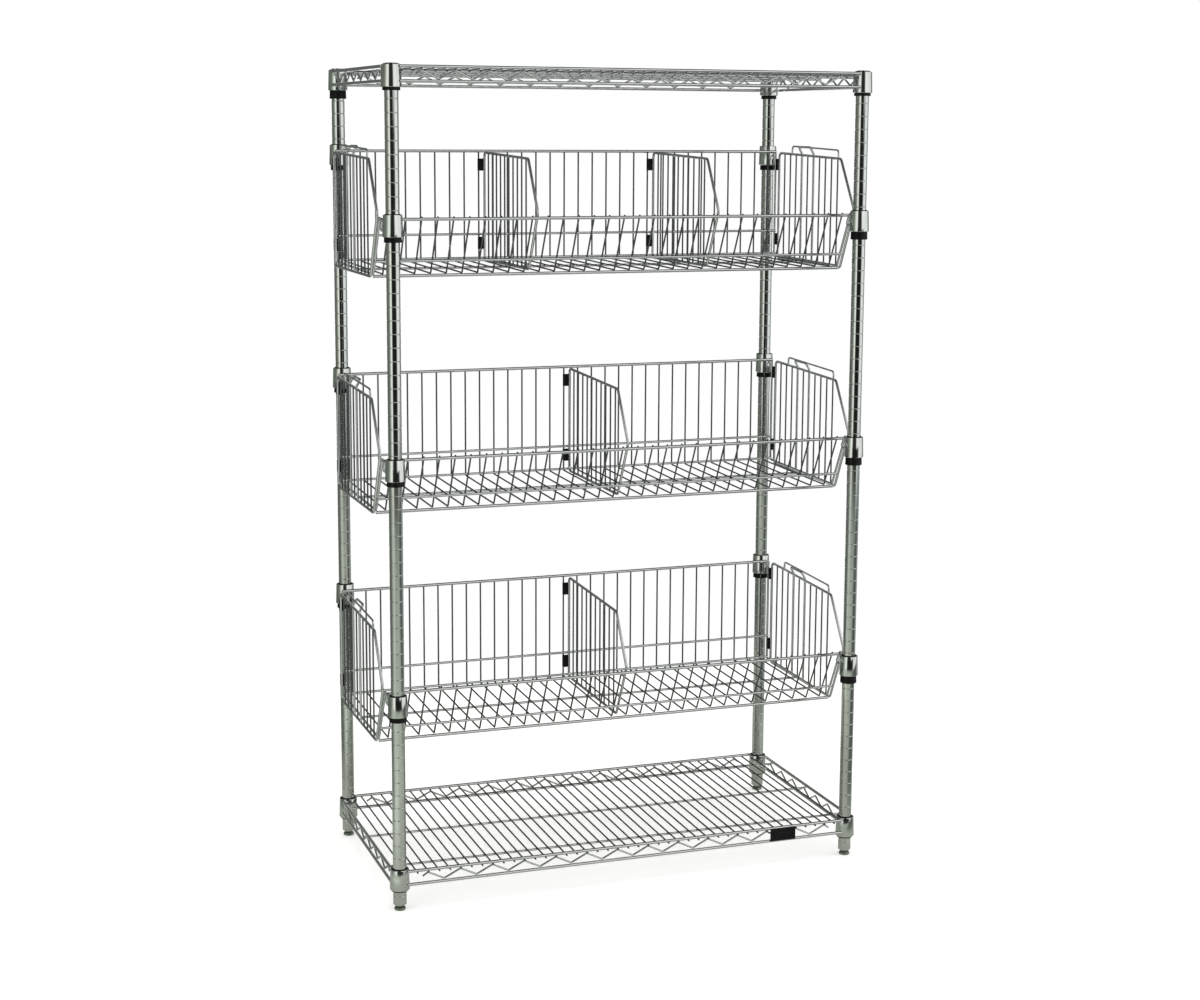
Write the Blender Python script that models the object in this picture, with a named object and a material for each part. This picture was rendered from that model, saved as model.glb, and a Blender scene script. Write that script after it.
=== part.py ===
"""Stationary wire shelving unit: four posts, two truss shelves and three open wire baskets.

Units are metres, +Z is up, X runs along the front, Y runs to the back.
The origin is on the floor, at the centre of the four posts.
"""
import math

import bmesh
import bpy
from mathutils import Matrix, Vector

# Driving dimensions

FIT_GAP = 0.0003
WELD_DEPTH = 0.0015
ROUND_SIDES = 12
SMOOTH_ANGLE = math.radians(40)

POST_SPAN_X = 0.956
POST_SPAN_Y = 0.454
POST_DIAMETER = 0.026
POST_WALL = 0.0015
POST_TOP = 1.6175
POST_BOTTOM = 0.0114
POST_INSERT_HEIGHT = 0.020

STEM_DIAMETER = 0.009
STEM_LENGTH = 0.046
PAD_DIAMETER = 0.022
PAD_HEIGHT = 0.006
PAD_CHAMFER = 0.0015

SLEEVE_TOP_WALL = 0.0020
SLEEVE_TAPER = 0.030
SLEEVE_ABOVE_COLLAR = 0.0015
COLLAR_HEIGHT = 0.041
COLLAR_WALL = 0.0025

BOTTOM_SHELF_SLEEVE_REVEAL = {
    "front_left": 0.003,
    "front_right": 0.003,
    "back_left": 0.003,
    "back_right": 0.003,
}
TOP_SHELF_SLEEVE_REVEAL = {
    "front_left": 0.006,
    "front_right": 0.006,
    "back_left": 0.0165,
    "back_right": 0.0075,
}
BASKET_SLEEVE_REVEAL = {
    "front_left": 0.010,
    "front_right": 0.016,
    "back_left": 0.010,
    "back_right": 0.011,
}

BOTTOM_SHELF_COLLAR_TOP = 0.0828
SHELF_RAIL = 0.006
SHELF_RAIL_OUTSET = 0.0135
SHELF_TOP_RAIL_DROP = 0.0035
SHELF_BOTTOM_RAIL_DROP = 0.0300
SHELF_WIRE = 0.0034
SHELF_WIRE_PITCH = 0.02175
SHELF_WIRE_MARGIN = 0.008
SHELF_UNDER_WIRE = 0.0048
SHELF_UNDER_WIRE_INSET = 0.045
SHELF_END_BAR_WIDTH = 0.005
SHELF_END_BAR_INSET = 0.012
TRUSS_WIRE = 0.0035
TRUSS_PERIOD_IN_WIRES = 3
TRUSS_STUB = 0.010
SIDE_TRUSS_BAYS = 6

PLATE_INSET = 0.150
PLATE_WIDTH = 0.056
PLATE_HEIGHT = 0.026
PLATE_THICKNESS = 0.0020

BASKET_FIRST_FLOOR = 0.307
UPPER_BASKET_DROP = 0.3961
BASKET_RAIL = 0.006
BASKET_MID_RAIL = 0.005
BASKET_WIRE = 0.003
BASKET_WIRE_PITCH = 0.0313
BASKET_WIRE_MARGIN = 0.008
BASKET_END_BAR = 0.005
BASKET_END_BAR_OUTSET = 0.010
BACK_COLLAR_TOP = 0.2445
BACK_RAIL_DROP = 0.012
BACK_MID_RAIL_HEIGHT = 0.061
FRONT_COLLAR_TOP = 0.1215
LIP_RAIL_DROP = 0.0115
LIP_SETBACK = 0.058
LIP_LEAN = 0.058
LIP_LOW_RAIL_HEIGHT = 0.029
LIP_ARM = 0.006
LIP_ARM_OUTSET = 0.006
LIP_ARM_DROP = 0.020

PANEL_FRAME = 0.0055
PANEL_WIRE = 0.003
PANEL_WIRE_COUNT = 10
PANEL_BACK_SETBACK = 0.028
PANEL_TOP_DROP = 0.0025
PANEL_TOP_FALL = 0.008
PANEL_BEND_SETBACK = 0.121
PANEL_NOSE_SETBACK = 0.056
PANEL_NOSE_RISE = 0.0105
PANEL_LOOP_WIRE = 0.004
PANEL_LOOP_RISE = 0.017
PANEL_LOOP_SETBACK = 0.067
PANEL_LOOP_LENGTH = 0.226
PANEL_HOOK_RISE = 0.011
PANEL_HOOK_SETBACK = 0.110
PANEL_HOOK_LENGTH = 0.055

DIVIDER_WIRE_OFFSET = 0.010
CLIP_HEIGHT = 0.020
CLIP_WALL = 0.002
UPPER_CLIP_DROP = 0.0145
LOWER_CLIP_DROP = 0.0055

# Sizes worked out from the driving dimensions

POST_X = POST_SPAN_X / 2
POST_Y = POST_SPAN_Y / 2
POST_RADIUS = POST_DIAMETER / 2
SLEEVE_BORE = POST_RADIUS + FIT_GAP
BASKET_END_X = POST_X + BASKET_END_BAR_OUTSET
BACK_RAIL_HEIGHT = BACK_COLLAR_TOP - BACK_RAIL_DROP
LIP_TOP_HEIGHT = FRONT_COLLAR_TOP - LIP_RAIL_DROP
PANEL_BACK_HEIGHT = BACK_RAIL_HEIGHT - PANEL_TOP_DROP
PANEL_BEND_HEIGHT = PANEL_BACK_HEIGHT - PANEL_TOP_FALL
PANEL_NOSE_HEIGHT = LIP_TOP_HEIGHT + PANEL_NOSE_RISE
PANEL_BEND_Y = PANEL_BEND_SETBACK - POST_Y
UPPER_CLIP_HEIGHT = BACK_RAIL_HEIGHT - BASKET_RAIL / 2 - UPPER_CLIP_DROP - CLIP_HEIGHT / 2
LOWER_CLIP_HEIGHT = BACK_MID_RAIL_HEIGHT - BASKET_MID_RAIL / 2 - LOWER_CLIP_DROP - CLIP_HEIGHT / 2

CORNERS = {
    "front_left": (-POST_X, -POST_Y),
    "front_right": (POST_X, -POST_Y),
    "back_left": (-POST_X, POST_Y),
    "back_right": (POST_X, POST_Y),
}
BASKETS = ("lower_basket", "middle_basket", "upper_basket")
DIVIDER_WIRES = {
    "lower_basket": {"divider": 0},
    "middle_basket": {"divider": 0},
    "upper_basket": {"left_divider": -6, "right_divider": 6},
}


def sleeve_radius(below_collar_top):
    """Outer radius of a sleeve at a depth below the top of the collar that it holds."""
    return SLEEVE_BORE + SLEEVE_TOP_WALL + SLEEVE_TAPER * (below_collar_top + SLEEVE_ABOVE_COLLAR)


def collar_bore(below_top):
    """Inner radius of a collar at a depth below its top."""
    return sleeve_radius(below_top) + FIT_GAP


def collar_radius(below_top):
    """Outer radius of a collar at a depth below its top."""
    return collar_bore(below_top) + COLLAR_WALL


def weld_radius(below_top):
    """Radius halfway through a collar's wall, where a welded bar ends."""
    return collar_bore(below_top) + COLLAR_WALL / 2


def reach_to_collar(offset, below_top):
    """Distance from a post's axis at which a bar that passes the axis at an offset meets the collar."""
    return math.sqrt(weld_radius(below_top) ** 2 - offset ** 2)


BACK_PLANE_Y = (POST_Y - collar_radius(BACK_COLLAR_TOP - BACK_RAIL_HEIGHT)
                + WELD_DEPTH - BASKET_RAIL / 2)
LIP_TOP_Y = LIP_SETBACK - POST_Y
FLOOR_FRONT_Y = LIP_TOP_Y + LIP_LEAN

# Materials


def finish(name, colour, roughness, metallic):
    """One Principled material; colour is linear red, green and blue."""
    material = bpy.data.materials.new(name)
    material.use_nodes = True
    shader = material.node_tree.nodes["Principled BSDF"]
    shader.inputs["Base Color"].default_value = (*colour, 1.0)
    shader.inputs["Roughness"].default_value = roughness
    shader.inputs["Metallic"].default_value = metallic
    return material


# Building blocks


def clear_scene():
    for item in list(bpy.data.objects):
        bpy.data.objects.remove(item, do_unlink=True)


def solid(name, form):
    """Turn a bmesh into an object in the scene."""
    bmesh.ops.remove_doubles(form, verts=form.verts, dist=1e-7)
    bmesh.ops.recalc_face_normals(form, faces=form.faces)
    mesh = bpy.data.meshes.new(name)
    form.to_mesh(mesh)
    form.free()
    piece = bpy.data.objects.new(name, mesh)
    bpy.context.scene.collection.objects.link(piece)
    return piece


def add_box(form, low, high):
    """Add a closed box between two corners."""
    low = Vector(low)
    high = Vector(high)
    size = high - low
    place = Matrix.Translation((low + high) / 2) @ Matrix.Diagonal((*size, 1.0))
    bmesh.ops.create_cube(form, size=1.0, matrix=place)


def add_rail(form, y, z, half_length, thickness):
    """Add a square rail along X."""
    half = thickness / 2
    add_box(form, (-half_length, y - half, z - half), (half_length, y + half, z + half))


def add_bent_bar(form, points, half_width, normal, half_depth, closed=False):
    """Add a square bar that follows planar points; normal is the plane's unit normal."""
    points = [Vector(point) for point in points]
    normal = Vector(normal)
    count = len(points)
    rings = []
    for index, point in enumerate(points):
        before = points[index - 1] if closed or index > 0 else None
        after = points[(index + 1) % count] if closed or index < count - 1 else None
        first = (point - before).normalized() if before is not None else (after - point).normalized()
        second = (after - point).normalized() if after is not None else first
        side_first = normal.cross(first)
        side_second = normal.cross(second)
        mitre = (side_first + side_second).normalized()
        reach = half_width / mitre.dot(side_first)
        across = mitre * reach
        through = normal * half_depth
        corners = (point - across - through, point + across - through,
                   point + across + through, point - across + through)
        rings.append([form.verts.new(corner) for corner in corners])
    pairs = list(zip(rings, rings[1:]))
    if closed:
        pairs.append((rings[-1], rings[0]))
    for ring, following in pairs:
        for side in range(4):
            other = (side + 1) % 4
            form.faces.new((ring[side], ring[other], following[other], following[side]))
    if not closed:
        form.faces.new(tuple(reversed(rings[0])))
        form.faces.new(tuple(rings[-1]))


def add_turned(form, profile, centre=(0.0, 0.0), closed=False):
    """Spin a profile of (radius, height) points round a vertical axis."""
    x, y = centre
    line = [form.verts.new((x + radius, y, z)) for radius, z in profile]
    edges = [form.edges.new(pair) for pair in zip(line, line[1:])]
    if closed:
        edges.append(form.edges.new((line[-1], line[0])))
    bmesh.ops.spin(form, geom=line + edges, cent=(x, y, 0.0), axis=(0.0, 0.0, 1.0),
                   angle=2 * math.pi, steps=ROUND_SIDES, use_merge=True)


def add_collar(form, centre, top):
    """Add a tapered collar, which is open right through."""
    bottom = top - COLLAR_HEIGHT
    profile = (
        (collar_radius(0.0), top),
        (collar_radius(COLLAR_HEIGHT), bottom),
        (collar_bore(COLLAR_HEIGHT), bottom),
        (collar_bore(0.0), top),
    )
    add_turned(form, profile, centre, closed=True)


def welded(name, forms):
    """Weld several bmeshes, each of separate closed bodies, into one object."""
    pieces = [solid(f"{name}_{index}", form) for index, form in enumerate(forms)]
    base, others = pieces[0], pieces[1:]
    group = bpy.data.collections.new(name)
    for other in others:
        group.objects.link(other)
    weld = base.modifiers.new("weld", "BOOLEAN")
    weld.operation = "UNION"
    weld.solver = "EXACT"
    weld.operand_type = "COLLECTION"
    weld.collection = group
    view = bpy.context.evaluated_depsgraph_get()
    mesh = bpy.data.meshes.new_from_object(base.evaluated_get(view))
    for piece in pieces:
        bpy.data.objects.remove(piece, do_unlink=True)
    bpy.data.collections.remove(group)
    mesh.name = name
    result = bpy.data.objects.new(name, mesh)
    bpy.context.scene.collection.objects.link(result)
    return result


def dress(piece, material, parent=None, smooth=False):
    """Give a piece its material and its parent, and smooth it if it is round."""
    piece.data.materials.clear()
    piece.data.materials.append(material)
    if parent is not None:
        piece.parent = parent
    if smooth:
        piece.data.shade_smooth()
        piece.data.set_sharp_from_angle(angle=SMOOTH_ANGLE)
    return piece


def joint_marker(name, place):
    """An empty on a joint's axis, which carries the pieces that move together."""
    marker = bpy.data.objects.new(name, None)
    marker.location = place
    bpy.context.scene.collection.objects.link(marker)
    return marker


# Posts, levelling feet and sleeves


def make_post(corner, material):
    """A tube closed at the top, with a bored insert at the bottom for the foot's stem."""
    bore = POST_RADIUS - POST_WALL
    stem_bore = STEM_DIAMETER / 2 + FIT_GAP
    insert_top = POST_BOTTOM + POST_INSERT_HEIGHT
    profile = (
        (0.0, POST_TOP),
        (POST_RADIUS, POST_TOP),
        (POST_RADIUS, POST_BOTTOM),
        (stem_bore, POST_BOTTOM),
        (stem_bore, insert_top),
        (bore, insert_top),
        (bore, POST_TOP - POST_WALL),
        (0.0, POST_TOP - POST_WALL),
    )
    form = bmesh.new()
    add_turned(form, profile)
    post = solid(f"post_{corner}", form)
    post.location = (*CORNERS[corner], 0.0)
    return dress(post, material, smooth=True)


def make_foot(corner, material):
    """A levelling foot: a round pad on a threaded stem. Its origin is on the screw's axis."""
    pad = PAD_DIAMETER / 2
    stem = STEM_DIAMETER / 2
    profile = (
        (0.0, STEM_LENGTH),
        (stem, STEM_LENGTH),
        (stem, PAD_HEIGHT),
        (pad - PAD_CHAMFER, PAD_HEIGHT),
        (pad, PAD_HEIGHT - PAD_CHAMFER),
        (pad, 0.0),
        (0.0, 0.0),
    )
    form = bmesh.new()
    add_turned(form, profile)
    foot = solid(f"foot_{corner}", form)
    foot.location = (*CORNERS[corner], 0.0)
    return dress(foot, material, smooth=True)


def make_sleeve(level, corner, collar_top, reveal, material):
    """A tapered sleeve that grips the post and holds up one collar."""
    top = collar_top + SLEEVE_ABOVE_COLLAR
    depth = COLLAR_HEIGHT + reveal
    bottom = collar_top - depth
    profile = (
        (sleeve_radius(-SLEEVE_ABOVE_COLLAR), top),
        (sleeve_radius(depth), bottom),
        (SLEEVE_BORE, bottom),
        (SLEEVE_BORE, top),
    )
    form = bmesh.new()
    add_turned(form, profile, closed=True)
    sleeve = solid(f"sleeve_{level}_{corner}", form)
    sleeve.location = (*CORNERS[corner], 0.0)
    return dress(sleeve, material, smooth=True)


# Truss shelves, with heights measured down from the top of the collars


def truss_points(length_axis, offset, top_z, bottom_z, apexes, reach):
    """Points of one zigzag wire along X or Y, from collar to collar."""
    stations = [-reach, *apexes, reach]
    heights = []
    for index in range(len(apexes)):
        heights.append(top_z if index % 2 == 0 else bottom_z)
    heights = [top_z - TRUSS_STUB, *heights, top_z - TRUSS_STUB]
    if length_axis == "x":
        return [(station, offset, z) for station, z in zip(stations, heights)]
    return [(offset, station, z) for station, z in zip(stations, heights)]


def make_shelf(name, collar_top, material):
    """Perimeter trusses between four collars, cross wires, and wires under them."""
    top_z = collar_top - SHELF_TOP_RAIL_DROP
    bottom_z = collar_top - SHELF_BOTTOM_RAIL_DROP
    half_rail = SHELF_RAIL / 2
    half_wire = SHELF_WIRE / 2
    front_y = POST_Y + SHELF_RAIL_OUTSET
    side_x = POST_X + SHELF_RAIL_OUTSET

    collars = bmesh.new()
    for x, y in CORNERS.values():
        add_collar(collars, (x, y), collar_top)

    rails = bmesh.new()
    for z in (top_z, bottom_z):
        reach = reach_to_collar(SHELF_RAIL_OUTSET - half_rail, collar_top - z)
        for sign in (-1, 1):
            add_rail(rails, sign * front_y, z, POST_X - reach, SHELF_RAIL)
            low = (sign * side_x - half_rail, -(POST_Y - reach), z - half_rail)
            high = (sign * side_x + half_rail, POST_Y - reach, z + half_rail)
            add_box(rails, low, high)

    wires = bmesh.new()
    wire_z = top_z - half_rail + half_wire
    end_bar_x = POST_X - SHELF_END_BAR_INSET
    wire_limit = end_bar_x - SHELF_END_BAR_WIDTH / 2 - SHELF_WIRE_MARGIN
    wires_each_side = int(wire_limit / SHELF_WIRE_PITCH + 0.5)
    for index in range(-wires_each_side, wires_each_side):
        x = (index + 0.5) * SHELF_WIRE_PITCH
        low = (x - half_wire, -front_y, wire_z - half_wire)
        high = (x + half_wire, front_y, wire_z + half_wire)
        add_box(wires, low, high)

    under_z = wire_z - half_wire - FIT_GAP - SHELF_UNDER_WIRE / 2
    under_y = POST_Y - SHELF_UNDER_WIRE_INSET
    end_bar_top = wire_z + half_wire
    end_bar_bottom = under_z - SHELF_UNDER_WIRE / 2 - WELD_DEPTH
    end_bar_offset = SHELF_END_BAR_INSET - SHELF_END_BAR_WIDTH / 2
    end_bar_y = POST_Y - reach_to_collar(end_bar_offset, collar_top - wire_z)
    under_wires = bmesh.new()
    for y in (-under_y, 0.0, under_y):
        add_rail(under_wires, y, under_z, end_bar_x, SHELF_UNDER_WIRE)
    end_bars = bmesh.new()
    for sign in (-1, 1):
        low = (sign * end_bar_x - SHELF_END_BAR_WIDTH / 2, -end_bar_y, end_bar_bottom)
        high = (sign * end_bar_x + SHELF_END_BAR_WIDTH / 2, end_bar_y, end_bar_top)
        add_box(end_bars, low, high)

    trusses = bmesh.new()
    truss_offset = SHELF_RAIL_OUTSET - half_rail - FIT_GAP - TRUSS_WIRE / 2
    truss_top = wire_z - half_wire - FIT_GAP - TRUSS_WIRE
    truss_inner = truss_offset - TRUSS_WIRE / 2
    truss_reach = reach_to_collar(truss_inner, collar_top - truss_top + TRUSS_STUB)
    half_period = TRUSS_PERIOD_IN_WIRES * SHELF_WIRE_PITCH / 2
    half_count = int((POST_X - truss_reach - half_period / 2) / half_period)
    if half_count % 2 == 0:
        half_count -= 1
    long_apexes = [index * half_period for index in range(-half_count, half_count + 1)]
    side_step = (POST_SPAN_Y - 2 * truss_reach - half_period) / (2 * SIDE_TRUSS_BAYS)
    side_apexes = [index * side_step for index in range(-SIDE_TRUSS_BAYS, SIDE_TRUSS_BAYS + 1)]
    half_truss = TRUSS_WIRE / 2
    for sign in (-1, 1):
        long_points = truss_points("x", sign * (POST_Y + truss_offset), truss_top, bottom_z,
                                   long_apexes, POST_X - truss_reach)
        add_bent_bar(trusses, long_points, half_truss, (0.0, 1.0, 0.0), half_truss)
        side_points = truss_points("y", sign * (POST_X + truss_offset), truss_top, bottom_z,
                                   side_apexes, POST_Y - truss_reach)
        add_bent_bar(trusses, side_points, half_truss, (1.0, 0.0, 0.0), half_truss)

    shelf = welded(name, [collars, rails, wires, under_wires, end_bars, trusses])
    return dress(shelf, material)


def make_plate(material):
    """A bare plate on the front of the bottom shelf's truss."""
    front = -(POST_Y + SHELF_RAIL_OUTSET + SHELF_RAIL / 2 + FIT_GAP)
    middle_z = BOTTOM_SHELF_COLLAR_TOP - (SHELF_TOP_RAIL_DROP + SHELF_BOTTOM_RAIL_DROP) / 2
    form = bmesh.new()
    middle_x = POST_X - PLATE_INSET
    low = (middle_x - PLATE_WIDTH / 2, front - PLATE_THICKNESS, middle_z - PLATE_HEIGHT / 2)
    high = (middle_x + PLATE_WIDTH / 2, front, middle_z + PLATE_HEIGHT / 2)
    add_box(form, low, high)
    return dress(solid("label_plate", form), material)


# Baskets, with heights measured up from the basket's floor


def basket_wire_x(index):
    """X of a basket wire counted from the middle one."""
    return index * BASKET_WIRE_PITCH


def basket_wire_indexes():
    half = int((BASKET_END_X - BASKET_END_BAR / 2 - BASKET_WIRE_MARGIN) / BASKET_WIRE_PITCH)
    return range(-half, half + 1)


BACK_MID_RAIL_Y = BACK_PLANE_Y - BASKET_WIRE / 2 - FIT_GAP - BASKET_MID_RAIL / 2
FLOOR_RAIL_CLEAR = BASKET_RAIL / 2 + FIT_GAP


def make_back_grid(name, material, parent):
    """The basket's back: a top rail on two collars, a rail lower down, and upright wires."""
    half_wire = BASKET_WIRE / 2
    half_bar = BASKET_END_BAR / 2
    collars = bmesh.new()
    for sign in (-1, 1):
        add_collar(collars, (sign * POST_X, POST_Y), BACK_COLLAR_TOP)
    rails = bmesh.new()
    add_rail(rails, BACK_PLANE_Y, BACK_RAIL_HEIGHT, BASKET_END_X, BASKET_RAIL)
    add_rail(rails, BACK_MID_RAIL_Y, BACK_MID_RAIL_HEIGHT, BASKET_END_X, BASKET_MID_RAIL)
    bars = bmesh.new()
    for sign in (-1, 1):
        low = (sign * BASKET_END_X - half_bar, BACK_MID_RAIL_Y - WELD_DEPTH, FLOOR_RAIL_CLEAR)
        high = (sign * BASKET_END_X + half_bar, BACK_PLANE_Y + half_bar, BACK_RAIL_HEIGHT)
        add_box(bars, low, high)
    wires = bmesh.new()
    for index in basket_wire_indexes():
        x = basket_wire_x(index)
        low = (x - half_wire, BACK_PLANE_Y - half_wire, FLOOR_RAIL_CLEAR)
        high = (x + half_wire, BACK_PLANE_Y + half_wire, BACK_RAIL_HEIGHT)
        add_box(wires, low, high)
    return dress(welded(name, [collars, rails, bars, wires]), material, parent)


def make_floor_grid(name, material, parent):
    """The basket's floor: wires from the front rail to the back rail, and a rail below them."""
    half_wire = BASKET_WIRE / 2
    half_bar = BASKET_END_BAR / 2
    mid_y = (BACK_PLANE_Y + FLOOR_FRONT_Y) / 2
    mid_z = -half_wire - FIT_GAP - BASKET_MID_RAIL / 2
    rails = bmesh.new()
    add_rail(rails, BACK_PLANE_Y, 0.0, BASKET_END_X, BASKET_RAIL)
    add_rail(rails, FLOOR_FRONT_Y, 0.0, BASKET_END_X, BASKET_RAIL)
    add_rail(rails, mid_y, mid_z, BASKET_END_X, BASKET_MID_RAIL)
    bars = bmesh.new()
    for sign in (-1, 1):
        low = (sign * BASKET_END_X - half_bar, FLOOR_FRONT_Y, mid_z - WELD_DEPTH)
        high = (sign * BASKET_END_X + half_bar, BACK_PLANE_Y, half_bar)
        add_box(bars, low, high)
    wires = bmesh.new()
    for index in basket_wire_indexes():
        x = basket_wire_x(index)
        low = (x - half_wire, FLOOR_FRONT_Y, -half_wire)
        high = (x + half_wire, BACK_PLANE_Y, half_wire)
        add_box(wires, low, high)
    return dress(welded(name, [rails, bars, wires]), material, parent)


LIP_FOOT = Vector((0.0, FLOOR_FRONT_Y, 0.0))
LIP_HEAD = Vector((0.0, LIP_TOP_Y, LIP_TOP_HEIGHT))
LIP_RISE = (LIP_HEAD - LIP_FOOT).normalized()
LIP_OUT = Vector((1.0, 0.0, 0.0)).cross(LIP_RISE)
LIP_START = BASKET_RAIL / 2 * math.sqrt(2) + BASKET_WIRE / 2 + FIT_GAP


def lip_point(x, along, out=0.0):
    """A point on the lip's slope: distance up it from its foot, and distance out in front of it."""
    return LIP_FOOT + Vector((x, 0.0, 0.0)) + LIP_RISE * along + LIP_OUT * out


def make_lip_grid(name, material, parent):
    """The basket's sloping front: a top rail, a lower rail, wires, and arms to two collars."""
    half_wire = BASKET_WIRE / 2
    half_bar = BASKET_END_BAR / 2
    half_rail = BASKET_RAIL / 2
    top_along = (LIP_HEAD - LIP_FOOT).length
    low_along = LIP_LOW_RAIL_HEIGHT / LIP_RISE.z
    low_out = half_wire + FIT_GAP + BASKET_MID_RAIL / 2
    sideways = Vector((1.0, 0.0, 0.0))

    collars = bmesh.new()
    for sign in (-1, 1):
        add_collar(collars, (sign * POST_X, -POST_Y), FRONT_COLLAR_TOP)
    rails = bmesh.new()
    for along, out, half in ((top_along, 0.0, half_rail), (low_along, low_out, BASKET_MID_RAIL / 2)):
        ends = (lip_point(-BASKET_END_X, along, out), lip_point(BASKET_END_X, along, out))
        add_bent_bar(rails, ends, half, LIP_OUT, half)
    bars = bmesh.new()
    bar_out = low_out / 2
    for sign in (-1, 1):
        ends = (lip_point(sign * BASKET_END_X, LIP_START + half_bar, bar_out),
                lip_point(sign * BASKET_END_X, top_along, bar_out))
        add_bent_bar(bars, ends, half_bar, sideways, half_bar)
    wires = bmesh.new()
    for index in basket_wire_indexes():
        x = basket_wire_x(index)
        ends = (lip_point(x, LIP_START), lip_point(x, top_along))
        add_bent_bar(wires, ends, half_wire, sideways, half_wire)
    arms = bmesh.new()
    for sign in (-1, 1):
        x = sign * (POST_X + LIP_ARM_OUTSET)
        for z in (LIP_TOP_HEIGHT, LIP_TOP_HEIGHT - LIP_ARM_DROP):
            reach = reach_to_collar(LIP_ARM_OUTSET - LIP_ARM / 2, FRONT_COLLAR_TOP - z)
            lip_y = lip_point(0.0, z / LIP_RISE.z).y
            low = (x - LIP_ARM / 2, -(POST_Y - reach), z - LIP_ARM / 2)
            high = (x + LIP_ARM / 2, lip_y, z + LIP_ARM / 2)
            add_box(arms, low, high)
    return dress(welded(name, [collars, rails, bars, wires, arms]), material, parent)


# End panels and dividers, which share one outline


def panel_outline(x, back_y, floor_z, front_y, nose_y):
    """The frame's corners: up the back, along the top, down to the nose and back along the floor."""
    return [
        (x, back_y, floor_z),
        (x, back_y, PANEL_BACK_HEIGHT),
        (x, PANEL_BEND_Y, PANEL_BEND_HEIGHT),
        (x, nose_y, PANEL_NOSE_HEIGHT),
        (x, front_y, floor_z),
    ]


def top_height(y, back_y):
    """Height of the frame's top wire at a place along it."""
    share = (back_y - y) / (back_y - PANEL_BEND_Y)
    return PANEL_BACK_HEIGHT + (PANEL_BEND_HEIGHT - PANEL_BACK_HEIGHT) * share


def make_panel(name, outline, material, parent, loops):
    """A wire frame filled with upright wires; an end panel also has two loops on its top."""
    x, back_y, floor_z = outline[0]
    normal = (1.0, 0.0, 0.0)
    frame = bmesh.new()
    add_bent_bar(frame, outline, PANEL_FRAME / 2, normal, PANEL_FRAME / 2, closed=True)
    uprights = bmesh.new()
    step = (back_y - PANEL_BEND_Y) / (PANEL_WIRE_COUNT + 0.5)
    half = PANEL_WIRE / 2
    for index in range(1, PANEL_WIRE_COUNT + 1):
        y = back_y - step * index
        low = (x - half, y - half, floor_z)
        high = (x + half, y + half, top_height(y, back_y))
        add_box(uprights, low, high)
    forms = [frame, uprights]
    if loops:
        forms.append(panel_loops(x, back_y))
    return dress(welded(name, forms), material, parent)


def panel_loops(x, back_y):
    """The long loop and the short hook that stand on an end panel's top wire."""
    form = bmesh.new()
    spans = ((PANEL_LOOP_SETBACK, PANEL_LOOP_LENGTH, PANEL_LOOP_RISE),
             (PANEL_HOOK_SETBACK, PANEL_HOOK_LENGTH, PANEL_HOOK_RISE))
    for setback, length, rise in spans:
        start = back_y - setback
        end = start - length
        points = []
        for y, lift in ((start, 0.0), (start, rise), (end, rise), (end, 0.0)):
            points.append((x, y, top_height(y, back_y) + lift))
        add_bent_bar(form, points, PANEL_LOOP_WIRE / 2, (1.0, 0.0, 0.0), PANEL_LOOP_WIRE / 2)
    return form


PANEL_X = BASKET_END_X + BASKET_END_BAR / 2 + FIT_GAP + PANEL_FRAME / 2
DIVIDER_BACK_Y = BACK_MID_RAIL_Y - BASKET_MID_RAIL / 2 - FIT_GAP - PANEL_FRAME / 2
DIVIDER_FLOOR_Z = BASKET_RAIL / 2 + FIT_GAP + PANEL_FRAME / 2


def make_end_panel(name, sign, material, parent):
    """A panel that closes one end of a basket, just outside its end bars."""
    outline = panel_outline(sign * PANEL_X, POST_Y - PANEL_BACK_SETBACK, 0.0, FLOOR_FRONT_Y,
                            PANEL_NOSE_SETBACK - POST_Y)
    return make_panel(name, outline, material, parent, loops=True)


def make_divider(name, x, material, parent):
    """A divider that stands inside a basket, behind the slope of the lip."""
    inset = (BASKET_RAIL / 2 + FIT_GAP + PANEL_FRAME / 2) / LIP_RISE.z
    lean = -LIP_RISE.y / LIP_RISE.z
    front_y = FLOOR_FRONT_Y + inset - lean * DIVIDER_FLOOR_Z
    nose_y = FLOOR_FRONT_Y + inset - lean * PANEL_NOSE_HEIGHT
    outline = panel_outline(x, DIVIDER_BACK_Y, DIVIDER_FLOOR_Z, front_y, nose_y)
    return make_panel(name, outline, material, parent, loops=False)


def make_clip(name, wire_x, divider_x, middle_z, material, parent):
    """A clip that bears on a back wire and holds a divider's upright between two legs."""
    web_front = DIVIDER_BACK_Y + PANEL_FRAME / 2 + FIT_GAP
    web_back = BACK_PLANE_Y - BASKET_WIRE / 2 - FIT_GAP
    slot = PANEL_FRAME / 2 + FIT_GAP
    leg_front = DIVIDER_BACK_Y - PANEL_FRAME / 2
    left = wire_x - BASKET_WIRE / 2 - CLIP_WALL
    right = divider_x + slot + CLIP_WALL
    outline = (
        (left, web_back),
        (left, web_front),
        (divider_x - slot - CLIP_WALL, web_front),
        (divider_x - slot - CLIP_WALL, leg_front),
        (divider_x - slot, leg_front),
        (divider_x - slot, web_front),
        (divider_x + slot, web_front),
        (divider_x + slot, leg_front),
        (right, leg_front),
        (right, web_back),
    )
    form = bmesh.new()
    bottom = [form.verts.new((x, y, middle_z - CLIP_HEIGHT / 2)) for x, y in outline]
    face = form.faces.new(bottom)
    raised = bmesh.ops.extrude_face_region(form, geom=[face], use_keep_orig=True)
    top = [part for part in raised["geom"] if isinstance(part, bmesh.types.BMVert)]
    bmesh.ops.translate(form, verts=top, vec=(0.0, 0.0, CLIP_HEIGHT))
    return dress(solid(name, form), material, parent)


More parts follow.
